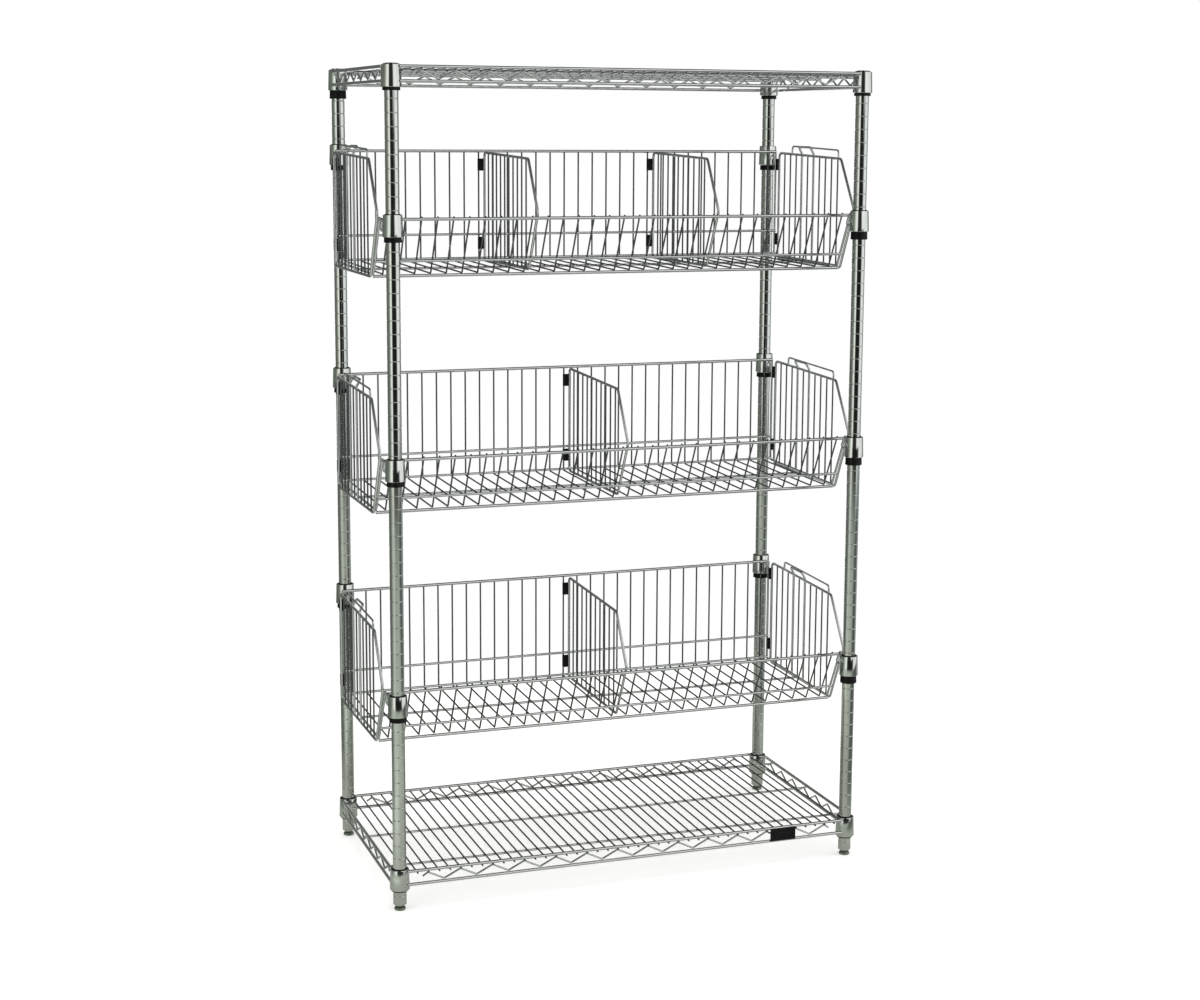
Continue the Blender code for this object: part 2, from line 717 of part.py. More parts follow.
def make_basket(name, floor_z, steel, plastic):
    """One basket with its end panels, dividers and clips, carried by a marker on its floor."""
    marker = joint_marker(f"{name}_lift", (0.0, 0.0, floor_z))
    make_back_grid(f"{name}_back_grid", steel, marker)
    make_floor_grid(f"{name}_floor_grid", steel, marker)
    make_lip_grid(f"{name}_lip_grid", steel, marker)
    make_end_panel(f"{name}_left_end_panel", -1, steel, marker)
    make_end_panel(f"{name}_right_end_panel", 1, steel, marker)
    for divider, index in DIVIDER_WIRES[name].items():
        wire_x = basket_wire_x(index)
        x = wire_x + DIVIDER_WIRE_OFFSET
        make_divider(f"{name}_{divider}", x, steel, marker)
        for place, height in (("upper", UPPER_CLIP_HEIGHT), ("lower", LOWER_CLIP_HEIGHT)):
            make_clip(f"{name}_{divider}_{place}_clip", wire_x, x, height, plastic, marker)


def main():
    clear_scene()
    steel = finish("zinc_plated_steel", (0.50, 0.52, 0.49), 0.30, 1.0)
    foot_steel = finish("dark_zinc_steel", (0.30, 0.31, 0.28), 0.40, 1.0)
    plastic = finish("black_plastic", (0.012, 0.012, 0.013), 0.45, 0.0)

    for corner in CORNERS:
        make_post(corner, steel)
        make_foot(corner, foot_steel)

    top_shelf_collar_top = POST_TOP - SLEEVE_ABOVE_COLLAR
    shelves = {
        "bottom_shelf": (BOTTOM_SHELF_COLLAR_TOP, BOTTOM_SHELF_SLEEVE_REVEAL),
        "top_shelf": (top_shelf_collar_top, TOP_SHELF_SLEEVE_REVEAL),
    }
    for name, (collar_top, reveals) in shelves.items():
        make_shelf(name, collar_top, steel)
        for corner in CORNERS:
            make_sleeve(name, corner, collar_top, reveals[corner], plastic)
    make_plate(plastic)

    spacing = (POST_TOP - UPPER_BASKET_DROP - BASKET_FIRST_FLOOR) / (len(BASKETS) - 1)
    for level, name in enumerate(BASKETS):
        floor_z = BASKET_FIRST_FLOOR + level * spacing
        make_basket(name, floor_z, steel, plastic)
        for corner in CORNERS:
            rise = FRONT_COLLAR_TOP if corner.startswith("front") else BACK_COLLAR_TOP
            make_sleeve(name, corner, floor_z + rise, BASKET_SLEEVE_REVEAL[corner], plastic)


main()
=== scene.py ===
# %% [markdown]
# This lesson dresses a wire basket shelving unit: four round posts, two truss shelves and three open
# baskets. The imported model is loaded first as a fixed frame, and every fine piece takes its place
# from it, so that nothing has to be fitted by eye.

# %% Load the frame
from math import atan2, degrees, pi, radians, tan

import bpy
from mathutils import Matrix, Vector


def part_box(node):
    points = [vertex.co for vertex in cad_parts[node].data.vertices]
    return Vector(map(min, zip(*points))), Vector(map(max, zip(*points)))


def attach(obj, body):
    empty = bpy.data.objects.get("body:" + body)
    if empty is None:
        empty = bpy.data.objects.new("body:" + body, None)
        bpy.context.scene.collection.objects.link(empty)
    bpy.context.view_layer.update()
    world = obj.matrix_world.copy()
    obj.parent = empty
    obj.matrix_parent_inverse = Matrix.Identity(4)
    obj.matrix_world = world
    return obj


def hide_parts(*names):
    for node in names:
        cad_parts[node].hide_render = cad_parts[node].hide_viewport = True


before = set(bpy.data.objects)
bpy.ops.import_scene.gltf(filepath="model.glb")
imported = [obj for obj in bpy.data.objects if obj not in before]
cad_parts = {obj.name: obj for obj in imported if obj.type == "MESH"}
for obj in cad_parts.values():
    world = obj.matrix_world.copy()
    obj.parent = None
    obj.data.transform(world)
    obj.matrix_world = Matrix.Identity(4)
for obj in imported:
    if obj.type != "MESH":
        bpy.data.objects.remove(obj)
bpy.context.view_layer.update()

# %% [markdown]
# The camera comes before the pieces, because each piece is judged against the photograph. It stands a
# little to the left of the unit, at chest height, and looks slightly down. Its place, turn and lens
# were fitted to the posts, rails and collars that the photograph shows.

# %% Camera
CAMERA_PLACE = (-1.39121, -3.96341, 1.50571)
CAMERA_YAW = radians(19.993)
CAMERA_PITCH = radians(-8.9608)
CAMERA_ROLL = radians(0.3614)
CAMERA_LENS = 61.872
SENSOR_WIDTH = 36.0
SHIFT_X = -0.01545
SHIFT_Y = -0.04
# A camera that isn't turned looks straight down, so a quarter turn brings it level.
QUARTER_TURN = pi / 2


def clear_selection():
    """Select nothing, so that the next operator acts on one piece only."""
    bpy.ops.object.select_all(action="DESELECT")


clear_selection()
bpy.ops.object.camera_add(location=CAMERA_PLACE)
camera = bpy.context.object
camera.name = "photo_camera"
aim = Matrix.Rotation(-CAMERA_YAW, 4, "Z")
aim = aim @ Matrix.Rotation(QUARTER_TURN + CAMERA_PITCH, 4, "X")
aim = aim @ Matrix.Rotation(CAMERA_ROLL, 4, "Z")
camera.rotation_euler = aim.to_euler()
camera.data.sensor_width = SENSOR_WIDTH
camera.data.lens = CAMERA_LENS
camera.data.shift_x = SHIFT_X
camera.data.shift_y = SHIFT_Y
bpy.context.scene.camera = camera
bpy.context.scene.view_settings.view_transform = "Standard"
print("camera looks along", [round(v, 3) for v in aim @ Vector((0.0, 0.0, -1.0))])

# %% [markdown]
# Every finish below is a small graph of nodes. Two helpers keep the graphs readable: one turns an sRGB
# hex code, which is how a colour is picked on a screen, into the linear numbers that a shader takes,
# and the other adds a node with its settings and links in one go.

# %% Colour and node helpers
def linear_colour(code):
    """Linear colour of an sRGB hex code such as #A0A0A0, by the formula of the sRGB standard."""
    shares = [int(code[start:start + 2], 16) / 255 for start in (1, 3, 5)]
    linear = []
    for share in shares:
        linear.append(share / 12.92 if share <= 0.04045 else ((share + 0.055) / 1.055) ** 2.4)
    return (*linear, 1.0)


def add_node(tree, kind, settings=None, values=None, links=None):
    """Add one node, set its options and socket values, and link sockets of other nodes to it."""
    node = tree.nodes.new(kind)
    for name, value in (settings or {}).items():
        setattr(node, name, value)
    for name, value in (values or {}).items():
        node.inputs[name].default_value = value
    for name, source in (links or {}).items():
        tree.links.new(source, node.inputs[name])
    return node


def new_finish(name):
    """An empty material and its node tree."""
    finish = bpy.data.materials.new(name)
    finish.use_nodes = True
    finish.node_tree.nodes.clear()
    return finish, finish.node_tree


print("grey #808080 is", round(linear_colour("#808080")[0], 4), "linear")

# %% [markdown]
# Plated steel and moulded plastic are alike in one way: their colour and shine vary softly over patches
# where they were handled, and a much finer grain catches the light. So one graph serves all finishes of
# the unit: one noise for the patches, which colours and dulls them, and another for the grain's relief.

# %% Patchy finish
MILLIMETRE = 0.001
# Nearly all of a noise lies between these two values.
NOISE_LOW = 0.3
NOISE_HIGH = 0.7


def per_metre(size):
    """Noise scale whose blotches are about this many metres across."""
    return 1.0 / size


def patchy_finish(name, shades, patch, dullness, grain, relief, body):
    """A finish with patches in its colour and shine, and a grain that stands up by a relief.

    shades holds two pairs of a noise value and a colour. patch and grain hold values of their noises,
    dullness the roughness at low and high noise, relief values of the bump and body of the shader.
    """
    finish, tree = new_finish(name)
    place = add_node(tree, "ShaderNodeTexCoord").outputs["Object"]
    patches = add_node(tree, "ShaderNodeTexNoise", values=patch, links={"Vector": place})
    colour = add_node(tree, "ShaderNodeValToRGB", links={"Fac": patches.outputs["Fac"]})
    for stop, (position, shade) in zip(colour.color_ramp.elements, shades):
        stop.position = position
        stop.color = linear_colour(shade)
    dull = add_node(
        tree, "ShaderNodeMapRange",
        values={"From Min": NOISE_LOW, "From Max": NOISE_HIGH, "To Min": dullness[0], "To Max": dullness[1]},
        links={"Value": patches.outputs["Fac"]},
    )
    fine = add_node(tree, "ShaderNodeTexNoise", values=grain, links={"Vector": place})
    bump = add_node(tree, "ShaderNodeBump", values=relief, links={"Height": fine.outputs["Fac"]})
    shader = add_node(
        tree, "ShaderNodeBsdfPrincipled", values=body,
        links={
            "Base Color": colour.outputs["Color"],
            "Roughness": dull.outputs["Result"],
            "Normal": bump.outputs["Normal"],
        },
    )
    add_node(tree, "ShaderNodeOutputMaterial", links={"Surface": shader.outputs["BSDF"]})
    return finish


print("patches of 35 mm have a noise scale of", round(per_metre(35 * MILLIMETRE), 1))

# %% [markdown]
# The posts and collars are steel tube with a bright nickel and chrome plate. Such a plate is a mirror
# that is slightly grey-green, with faint cloudy patches where it was handled and buffed. The finish
# mixes two close greys over centimetre-wide clouds and lets the same clouds dull the shine a little.
# The plate's grain is drawn coarser than the real one, at about a millimetre, so that it shows at all.

# %% Chrome-plated tube finish
def plated_steel(name, dark, light, cloud, dullness, grain, grain_height):
    """Bright plated steel: cloudy colour and shine, with a very fine grain in the plate."""
    return patchy_finish(
        name, shades=((0.35, dark), (0.65, light)), dullness=dullness,
        patch={"Scale": per_metre(cloud), "Detail": 3.0, "Roughness": 0.6},
        grain={"Scale": per_metre(grain), "Detail": 2.0},
        relief={"Strength": 0.25, "Distance": grain_height},
        body={"Metallic": 1.0},
    )


# Chrome gives the eye a clear, slightly green mirror with long soft stripes along the tube.
chrome_tube = plated_steel(
    "chrome-plated steel tube", dark="#DDE1DC", light="#E7EBE6", cloud=35 * MILLIMETRE,
    dullness=(0.06, 0.11), grain=1.2 * MILLIMETRE, grain_height=0.002 * MILLIMETRE,
)
print("made", chrome_tube.name)

# %% [markdown]
# The shelves, baskets and panels are drawn steel wire with the same plate over a rougher surface: the
# drawing die leaves fine lines and the welds leave dull patches. The thin wires carry the same plate as
# the stout rails, but their colour is painted far darker, as painted shade, and they are rougher, so duller.
# The graph is the same, with other greys, smaller clouds and another shine.

# %% Plated wire finishes
DRAWN = {"grain": 0.9 * MILLIMETRE, "grain_height": 0.003 * MILLIMETRE}
THIN = {"cloud": 12 * MILLIMETRE, "dullness": (0.15, 0.24), **DRAWN}

# Thin drawn wire is painted a dark grey, as painted shade, so it shows hardly a highlight.
thin_wire_painted_shade = plated_steel("chrome-plated drawn steel wire", dark="#6E7071", light="#7E8182", **THIN)
# Thin wire of the top shelf is painted a paler grey, as painted light where the top of the unit is lit more.
top_shelf_wire_painted_light = plated_steel("chrome-plated drawn steel wire painted paler for light", dark="#9B9EA0", light="#AAADAF", **THIN)
# A stout rail gives the eye a pale core between two dark edges.
plated_rail = plated_steel(
    "chrome-plated drawn steel rail", dark="#E3E5E5", light="#EFF1F1", cloud=18 * MILLIMETRE,
    dullness=(0.09, 0.16), **DRAWN,
)
# A turned foot gives the eye a dull grey-green with lathe lines that are too fine to see.
turned_foot = plated_steel(
    "zinc-plated turned steel", dark="#8E968B", light="#B0B8AD", cloud=6 * MILLIMETRE,
    dullness=(0.28, 0.42), grain=0.8 * MILLIMETRE, grain_height=0.006 * MILLIMETRE,
)
print("made", [finish.name for finish in (thin_wire_painted_shade, top_shelf_wire_painted_light, plated_rail, turned_foot)])

# %% [markdown]
# Sleeves and clips are black nylon from a mould whose walls were spark-eroded, so the surface has a
# very fine even grain and a low sheen. The grain is drawn coarser than the real one, at 0.7 mm, so that
# it still shows in a picture of the whole unit. The label plate is the same black with a smoother face.

# %% Black plastic finishes
RUBBED = 9 * MILLIMETRE


def moulded_plastic(name, dark, light, dullness, grain, grain_height):
    """Dark moulded plastic: rubbed patches in its sheen and a fine grain from the mould."""
    return patchy_finish(
        name, shades=((0.4, dark), (0.75, light)), dullness=dullness,
        patch={"Scale": per_metre(RUBBED), "Detail": 4.0},
        grain={"Scale": per_metre(grain), "Detail": 1.0},
        relief={"Strength": 0.35, "Distance": grain_height},
        body={"IOR": 1.53, "Specular IOR Level": 0.25},
    )


# Nylon gives the eye a soft black with a grey sheen only along its edges.
black_nylon = moulded_plastic(
    "spark-grained black nylon", dark="#060606", light="#0E0F0E", dullness=(0.58, 0.42),
    grain=0.7 * MILLIMETRE, grain_height=0.05 * MILLIMETRE,
)
# A moulded label plate gives the eye a deeper black with a smoother face.
black_plate = moulded_plastic(
    "smooth moulded black ABS", dark="#070808", light="#101112", dullness=(0.36, 0.28),
    grain=1.1 * MILLIMETRE, grain_height=0.02 * MILLIMETRE,
)
print("made", black_nylon.name, "and", black_plate.name)

# %% [markdown]
# The studio is a white space under soft light. The world is white to the camera, and to rays that
# bounce off metal or pass through something clear, so a mirror shows the same background as the picture.
# To everything dull it is a pale, even light.

# %% Studio light
AMBIENT = "#EDEDED"
WHITE = "#FFFFFF"

world = bpy.data.worlds.new("studio")
world.use_nodes = True
bpy.context.scene.world = world
sky = world.node_tree
sky.nodes.clear()


def add_sees_background(tree):
    """1 for a ray from the camera, off a mirror or through something clear, otherwise 0."""
    kind = add_node(tree, "ShaderNodeLightPath")
    either = add_node(
        tree, "ShaderNodeMath", {"operation": "MAXIMUM"},
        links={0: kind.outputs["Is Camera Ray"], 1: kind.outputs["Is Glossy Ray"]},
    )
    sees = add_node(
        tree, "ShaderNodeMath", {"operation": "MAXIMUM"},
        links={0: either.outputs[0], 1: kind.outputs["Is Transmission Ray"]},
    )
    return sees.outputs[0]


soft_light = add_node(
    sky, "ShaderNodeBackground", values={"Color": linear_colour(AMBIENT), "Strength": 1.0},
)
white_wall = add_node(
    sky, "ShaderNodeBackground", values={"Color": linear_colour(WHITE), "Strength": 1.0},
)
seen = add_node(
    sky, "ShaderNodeMixShader",
    links={0: add_sees_background(sky), 1: soft_light.outputs[0], 2: white_wall.outputs[0]},
)
add_node(sky, "ShaderNodeOutputWorld", links={"Surface": seen.outputs[0]})
print("world nodes", len(sky.nodes))

# %% [markdown]
# In plain white, chrome has no shape. A photographer hangs grey scrims round it: cloths that let
# the white through, thin in places and nearly black in others. They draw the long stripes along a tube.
# Here one round tent of scrim stands far round the unit, with three rings of cloth, one over the other.
# It is clear to the camera and casts no shadow, so it shows in the metal alone, and each part of it
# tints the white that is seen through it.

# %% Scrims round the unit
# Each stop is an angle round the unit, from the front, towards the right, and the scrim that hangs there.
HIGH_SCRIMS = (
    (-180, "#5B5E5B"), (-133, "#6F746E"), (-104, "#6F756D"), (-84, "#8D9389"), (-70, "#DCE0D8"),
    (-58, "#FFFFFF"), (-47, "#FDFFFA"), (-41, "#9A9E96"), (-36, "#313330"), (-14, "#282A28"),
    (-1, "#363739"), (4, "#8A8B8E"), (9, "#E0E1E3"), (14, "#FFFFFF"), (42, "#FFFFFF"),
    (56, "#E7E9EC"), (76, "#FFFFFF"), (92, "#C2C5C4"), (108, "#7F8380"), (140, "#6F736E"),
    (180, "#5B5E5B"),
)
EYE_SCRIMS = (
    (-180, "#5B5E5B"), (-104, "#6F756D"), (-84, "#8D9389"), (-70, "#DCE0D8"), (-58, "#FFFFFF"),
    (-49, "#FDFFFA"), (-43, "#8A8E86"), (-38, "#222422"), (20, "#1C1D1D"), (28, "#6A6B6E"),
    (36, "#D8D9DC"), (46, "#FFFFFF"), (56, "#E7E9EC"), (76, "#FFFFFF"), (92, "#C2C5C4"),
    (108, "#7F8380"), (180, "#5B5E5B"),
)
LOW_SCRIMS = (
    (-180, "#FFFFFF"), (-172, "#5B5E5B"), (-120, "#646963"), (-95, "#6F746E"), (-82, "#A2A69F"),
    (-66, "#C4C8C0"), (-46, "#B9BDB5"), (-28, "#A3A79F"), (0, "#9EA29B"), (26, "#8F938D"),
    (40, "#5E615D"), (72, "#545755"), (84, "#8E9396"), (96, "#A9AEB2"), (110, "#7F8380"),
    (140, "#6F736E"), (148, "#F4F6F4"), (180, "#FFFFFF"),
)
OVERHEAD_SCRIM = "#4B4D4B"
FLOOR_SCRIM = "#9A9D97"
print("scrims hung high, at eye height and low", len(HIGH_SCRIMS), len(EYE_SCRIMS), len(LOW_SCRIMS))

# %% Scrim rings
scrim_cloth, cloth = new_finish("grey scrim cloth")
spot = add_node(cloth, "ShaderNodeTexCoord")
direction = add_node(
    cloth, "ShaderNodeVectorMath", {"operation": "NORMALIZE"}, links={0: spot.outputs["Object"]},
)
split = add_node(cloth, "ShaderNodeSeparateXYZ", links={0: direction.outputs[0]})
to_front = add_node(cloth, "ShaderNodeMath", {"operation": "MULTIPLY"}, {1: -1.0}, {0: split.outputs["Y"]})
azimuth = add_node(
    cloth, "ShaderNodeMath", {"operation": "ARCTAN2"},
    links={0: split.outputs["X"], 1: to_front.outputs[0]},
)
around = add_node(
    cloth, "ShaderNodeMapRange",
    values={"From Min": -pi, "From Max": pi},
    links={"Value": azimuth.outputs[0]},
)


def hang(scrims):
    """A ring of scrims, each shading into the next, as a colour ramp round the unit."""
    ring = add_node(cloth, "ShaderNodeValToRGB", links={"Fac": around.outputs["Result"]})
    stops = ring.color_ramp.elements
    while len(stops) < len(scrims):
        stops.new(1.0)
    for stop, (angle, shade) in zip(stops, scrims):
        stop.position = (angle + 180) / 360
        stop.color = linear_colour(shade)
    return ring.outputs["Color"]


high_ring = hang(HIGH_SCRIMS)
eye_ring = hang(EYE_SCRIMS)
low_ring = hang(LOW_SCRIMS)
print("scrim ring nodes", len(cloth.nodes))

# %% Scrim cloth
# The low scrims hang higher behind the unit than before it, and the overhead one lower, so each height
# is measured along a leaning line. A height is 0 level with the unit's middle and 1 straight above it.
WALL_LEAN = (0.0, -0.08, 1.0)
ROOF_LEAN = (0.0, 0.15, 1.0)
FLOOR_TO_LOW = (-0.75, -0.55)
LOW_TO_EYE = (-0.15, -0.06)
EYE_TO_HIGH = (0.12, 0.17)
HIGH_TO_ROOF = (0.57, 0.69)
# A Mix node keeps other sockets for numbers and vectors. These are the ones for colours.
MIX_BELOW = 6
MIX_ABOVE = 7
MIX_RESULT = 2


def change_at(lean, heights, cloth_below, cloth_above):
    """One cloth below a height and another above a second one, shading into each other between them."""
    height = add_node(
        cloth, "ShaderNodeVectorMath", {"operation": "DOT_PRODUCT"}, {1: lean}, {0: direction.outputs[0]},
    )
    share = add_node(
        cloth, "ShaderNodeMapRange", {"interpolation_type": "SMOOTHSTEP"},
        values={"From Min": heights[0], "From Max": heights[1]},
        links={"Value": height.outputs["Value"]},
    )
    change = add_node(
        cloth, "ShaderNodeMix", {"data_type": "RGBA"}, links={"Factor": share.outputs["Result"]},
    )
    for socket, shade in ((MIX_BELOW, cloth_below), (MIX_ABOVE, cloth_above)):
        if isinstance(shade, str):
            change.inputs[socket].default_value = linear_colour(shade)
        else:
            cloth.links.new(shade, change.inputs[socket])
    return change.outputs[MIX_RESULT]


low_walls = change_at(WALL_LEAN, LOW_TO_EYE, low_ring, eye_ring)
walls = change_at(WALL_LEAN, EYE_TO_HIGH, low_walls, high_ring)
roofed = change_at(ROOF_LEAN, HIGH_TO_ROOF, walls, OVERHEAD_SCRIM)
closed = change_at(WALL_LEAN, FLOOR_TO_LOW, FLOOR_SCRIM, roofed)
clear = add_node(cloth, "ShaderNodeBsdfTransparent", links={"Color": closed})
add_node(cloth, "ShaderNodeOutputMaterial", links={"Surface": clear.outputs[0]})
print("scrim cloth nodes", len(cloth.nodes))

# %% Scrim tent
UNIT_MIDDLE = Vector((0.0, 0.0, 0.8))
SCRIM_DISTANCE = 14.0
TENT_SEGMENTS = 64
TENT_RINGS = 32
TENT_FLOOR = (0.0, 0.0, 1 * MILLIMETRE)
UP = (0.0, 0.0, 1.0)


def edit_all():
    """Go into edit mode with everything selected."""
    bpy.ops.object.mode_set(mode="EDIT")
    bpy.ops.mesh.select_all(action="SELECT")


def leave_edit():
    """Go back to object mode."""
    bpy.ops.object.mode_set(mode="OBJECT")


clear_selection()
bpy.ops.mesh.primitive_uv_sphere_add(
    segments=TENT_SEGMENTS, ring_count=TENT_RINGS, radius=SCRIM_DISTANCE, location=UNIT_MIDDLE,
)
tent = bpy.context.object
tent.name = "studio_scrims"
edit_all()
bpy.ops.mesh.bisect(plane_co=TENT_FLOOR, plane_no=UP, use_fill=True, clear_inner=True)
leave_edit()
tent.data.materials.append(scrim_cloth)
tent.visible_camera = False
tent.visible_diffuse = False
tent.visible_transmission = False
tent.visible_shadow = False
lowest = min((tent.matrix_world @ corner.co).z for corner in tent.data.vertices)
print("scrim tent", SCRIM_DISTANCE, "m away, its floor at", round(lowest, 4))

# %% [markdown]
# Three soft boxes stand round the unit and a pale floor lies under it. The floor is painted a little
# short of white and glows by the rest to the same rays that see the white background, so it reads as a
# white sweep and still keeps the shadow under the shelves.

# %% Soft boxes
SOFT_BOXES = (
    ("left_soft_box", (-3.2, -2.2, 2.4), (1.4, 2.2), 16.0),
    ("right_soft_box", (3.4, -1.6, 2.2), (1.4, 2.2), 14.0),
    ("top_soft_box", (0.0, -0.6, 3.6), (2.4, 2.4), 26.0),
)
for name, place, size, power in SOFT_BOXES:
    clear_selection()
    bpy.ops.object.light_add(type="AREA", location=place)
    lamp = bpy.context.object
    lamp.name = name
    lamp.data.shape = "RECTANGLE"
    lamp.data.size = size[0]
    lamp.data.size_y = size[1]
    lamp.data.energy = power
    lamp.visible_glossy = False
    lamp.rotation_euler = (UNIT_MIDDLE - Vector(place)).to_track_quat("-Z", "Y").to_euler()
print("soft boxes", len(SOFT_BOXES))

# %% Floor
SWEEP_SIZE = (2.2, 4.4, 1.0)
SWEEP_MIDDLE = (0.0, -0.9, 0.0)
SWEEP_PAINT = "#E6E6E3"
SWEEP_GLOW = 0.4


def settle():
    """Put the place, turn and size of what is selected into its mesh."""
    bpy.ops.object.transform_apply(location=True, rotation=True, scale=True)


sweep, sweep_tree = new_finish("matt painted sweep")
glow = add_node(
    sweep_tree, "ShaderNodeMath", {"operation": "MULTIPLY"}, {1: SWEEP_GLOW},
    {0: add_sees_background(sweep_tree)},
)
paint = add_node(sweep_tree, "ShaderNodeBsdfDiffuse", values={"Color": linear_colour(SWEEP_PAINT)})
lift = add_node(sweep_tree, "ShaderNodeEmission", links={"Strength": glow.outputs[0]})
both = add_node(sweep_tree, "ShaderNodeAddShader", links={0: paint.outputs[0], 1: lift.outputs[0]})
add_node(sweep_tree, "ShaderNodeOutputMaterial", links={"Surface": both.outputs[0]})

clear_selection()
bpy.ops.mesh.primitive_plane_add(size=1.0, location=SWEEP_MIDDLE)
floor = bpy.context.object
bpy.ops.transform.resize(value=SWEEP_SIZE)
settle()
floor.name = "studio_floor"
floor.data.materials.append(sweep)
print("floor", SWEEP_SIZE[0], "by", SWEEP_SIZE[1], "m")

# %% [markdown]
# Nearly all of the unit is bent wire. By hand a wire is made from a small disc that is extruded along
# each straight run and spun round each bend, and that is what this helper does. A curve with a bevel
# would be quicker to type, but the disc keeps full control of the bends and of the cropped ends.

# %% Bending a wire
WIRE_SIDES = 10
# A cropped end narrows to this share of the wire, over this share of its radius.
CROP_SHARE = 0.6
CROP_LENGTH = 0.35
BEND_STEP = radians(18)
FEWEST_STEPS = 2


def push(step):
    """Extrude what is selected by a step."""
    bpy.ops.mesh.extrude_region_move(TRANSFORM_OT_translate={"value": step})


def close_up():
    """Turn all faces outwards and leave edit mode."""
    bpy.ops.mesh.select_all(action="SELECT")
    bpy.ops.mesh.normals_make_consistent(inside=False)
    leave_edit()


def bend_wire(points, thickness, bend=0.0):
    """One round wire along a path, with cropped ends and round bends."""
    path = [Vector(point) for point in points]
    radius = thickness / 2
    heading = (path[1] - path[0]).normalized()
    clear_selection()
    bpy.ops.mesh.primitive_circle_add(
        vertices=WIRE_SIDES, radius=radius * CROP_SHARE, fill_type="NGON",
        location=path[0], rotation=heading.to_track_quat("Z", "Y").to_euler(),
    )
    settle()
    edit_all()
    place = path[0] + heading * radius * CROP_LENGTH
    push(place - path[0])
    bpy.ops.transform.resize(value=(1 / CROP_SHARE,) * 3, center_override=place)
    for corner, after in zip(path[1:-1], path[2:]):
        following = (after - corner).normalized()
        angle = heading.angle(following)
        setback = bend * tan(angle / 2)
        start = corner - heading * setback
        push(start - place)
        axis = heading.cross(following).normalized()
        centre = start + axis.cross(heading) * bend
        steps = max(FEWEST_STEPS, round(angle / BEND_STEP))
        bpy.ops.mesh.spin(steps=steps, angle=-angle, center=centre, axis=axis)
        place = corner + following * setback
        heading = following
    crop = heading * radius * CROP_LENGTH
    push(path[-1] - crop - place)
    push(crop)
    bpy.ops.transform.resize(value=(CROP_SHARE,) * 3, center_override=path[-1])
    close_up()
    return bpy.context.object


def wire_along(reach, y, z, thickness):
    """A straight wire from end to end of the unit."""
    return bend_wire([(-reach, y, z), (reach, y, z)], thickness)


def wire_across(x, reach, z, thickness):
    """A straight wire from front to back of the unit."""
    return bend_wire([(x, -reach, z), (x, reach, z)], thickness)


print("a bend of 90 degrees takes", round(QUARTER_TURN / BEND_STEP), "steps")

# %% [markdown]
# What repeats is made once. An Array makes a row of wires, a weld joins the parts of a shelf or basket,
# and a master is copied to all its places and then thrown away. Each copy has its own mesh. Copies are
# made before any of them is dressed, because a copy of a dressed piece would stand for its nodes too.

# %% Rows, welds and copies
RING_MERGE = 0.02 * MILLIMETRE


def pick(pieces):
    """Select these pieces only, the first one active."""
    clear_selection()
    for piece in pieces:
        piece.select_set(True)
    bpy.context.view_layer.objects.active = pieces[0]


def row(piece, count, step, merge=False):
    """Repeat a piece along a row with an Array modifier, applied."""
    pick([piece])
    bpy.ops.object.modifier_add(type="ARRAY")
    array = piece.modifiers[-1]
    array.count = count
    array.use_relative_offset = False
    array.use_constant_offset = True
    array.constant_offset_displace = step
    array.use_merge_vertices = merge
    array.merge_threshold = RING_MERGE
    bpy.ops.object.modifier_apply(modifier=array.name)
    return piece


def coat(parts, finish):
    """Give the parts of a weld their finish before they are joined."""
    for part in parts:
        part.data.materials.append(finish)
    return parts


def weld(pieces):
    """Join pieces of one welded assembly into one object."""
    pick(pieces)
    bpy.ops.object.join()
    return pieces[0]


def copy_to(piece, step):
    """A copy with its own mesh, moved by a step."""
    pick([piece])
    bpy.ops.object.duplicate()
    bpy.ops.transform.translate(value=step)
    settle()
    return bpy.context.object


def mirror(piece):
    """A mirror image across the unit's middle plane, with its own mesh."""
    pick([piece])
    bpy.ops.object.duplicate()
    bpy.ops.transform.resize(value=(-1.0, 1.0, 1.0), center_override=(0.0, 0.0, 0.0))
    settle()
    edit_all()
    close_up()
    return bpy.context.object


def discard(piece):
    """Throw a master away."""
    pick([piece])
    bpy.ops.object.delete()


def copies_of(master, steps):
    """Copies of a master, one for each named step. The master is thrown away."""
    copies = {key: copy_to(master, step) for key, step in steps.items()}
    discard(master)
    return copies.items()


print("rings of a row that are closer than", RING_MERGE, "m are merged")

# %% Dressing a piece
SMOOTH_ANGLE = radians(42)


def dress(piece, name, body, finish, nodes=()):
    """Name a finished piece, smooth it, give it its finish and tie it to its body."""
    piece.name = name
    piece.data.name = name
    pick([piece])
    bpy.ops.object.shade_smooth_by_angle(angle=SMOOTH_ANGLE)
    if not piece.data.materials:
        piece.data.materials.append(finish)
    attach(piece, body)
    if nodes:
        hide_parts(*nodes)


print("faces that meet at less than", round(degrees(SMOOTH_ANGLE)), "degrees are smoothed")

# %% [markdown]
# Posts, feet, sleeves and collars are all round. A lathe is the natural tool, and in edit mode it is a
# ring that is extruded and resized from step to step of the profile. A hollow piece ends where it
# began, and its last ring is merged with its first.

# %% Turning a round piece
CLOSING_MERGE = 0.01 * MILLIMETRE


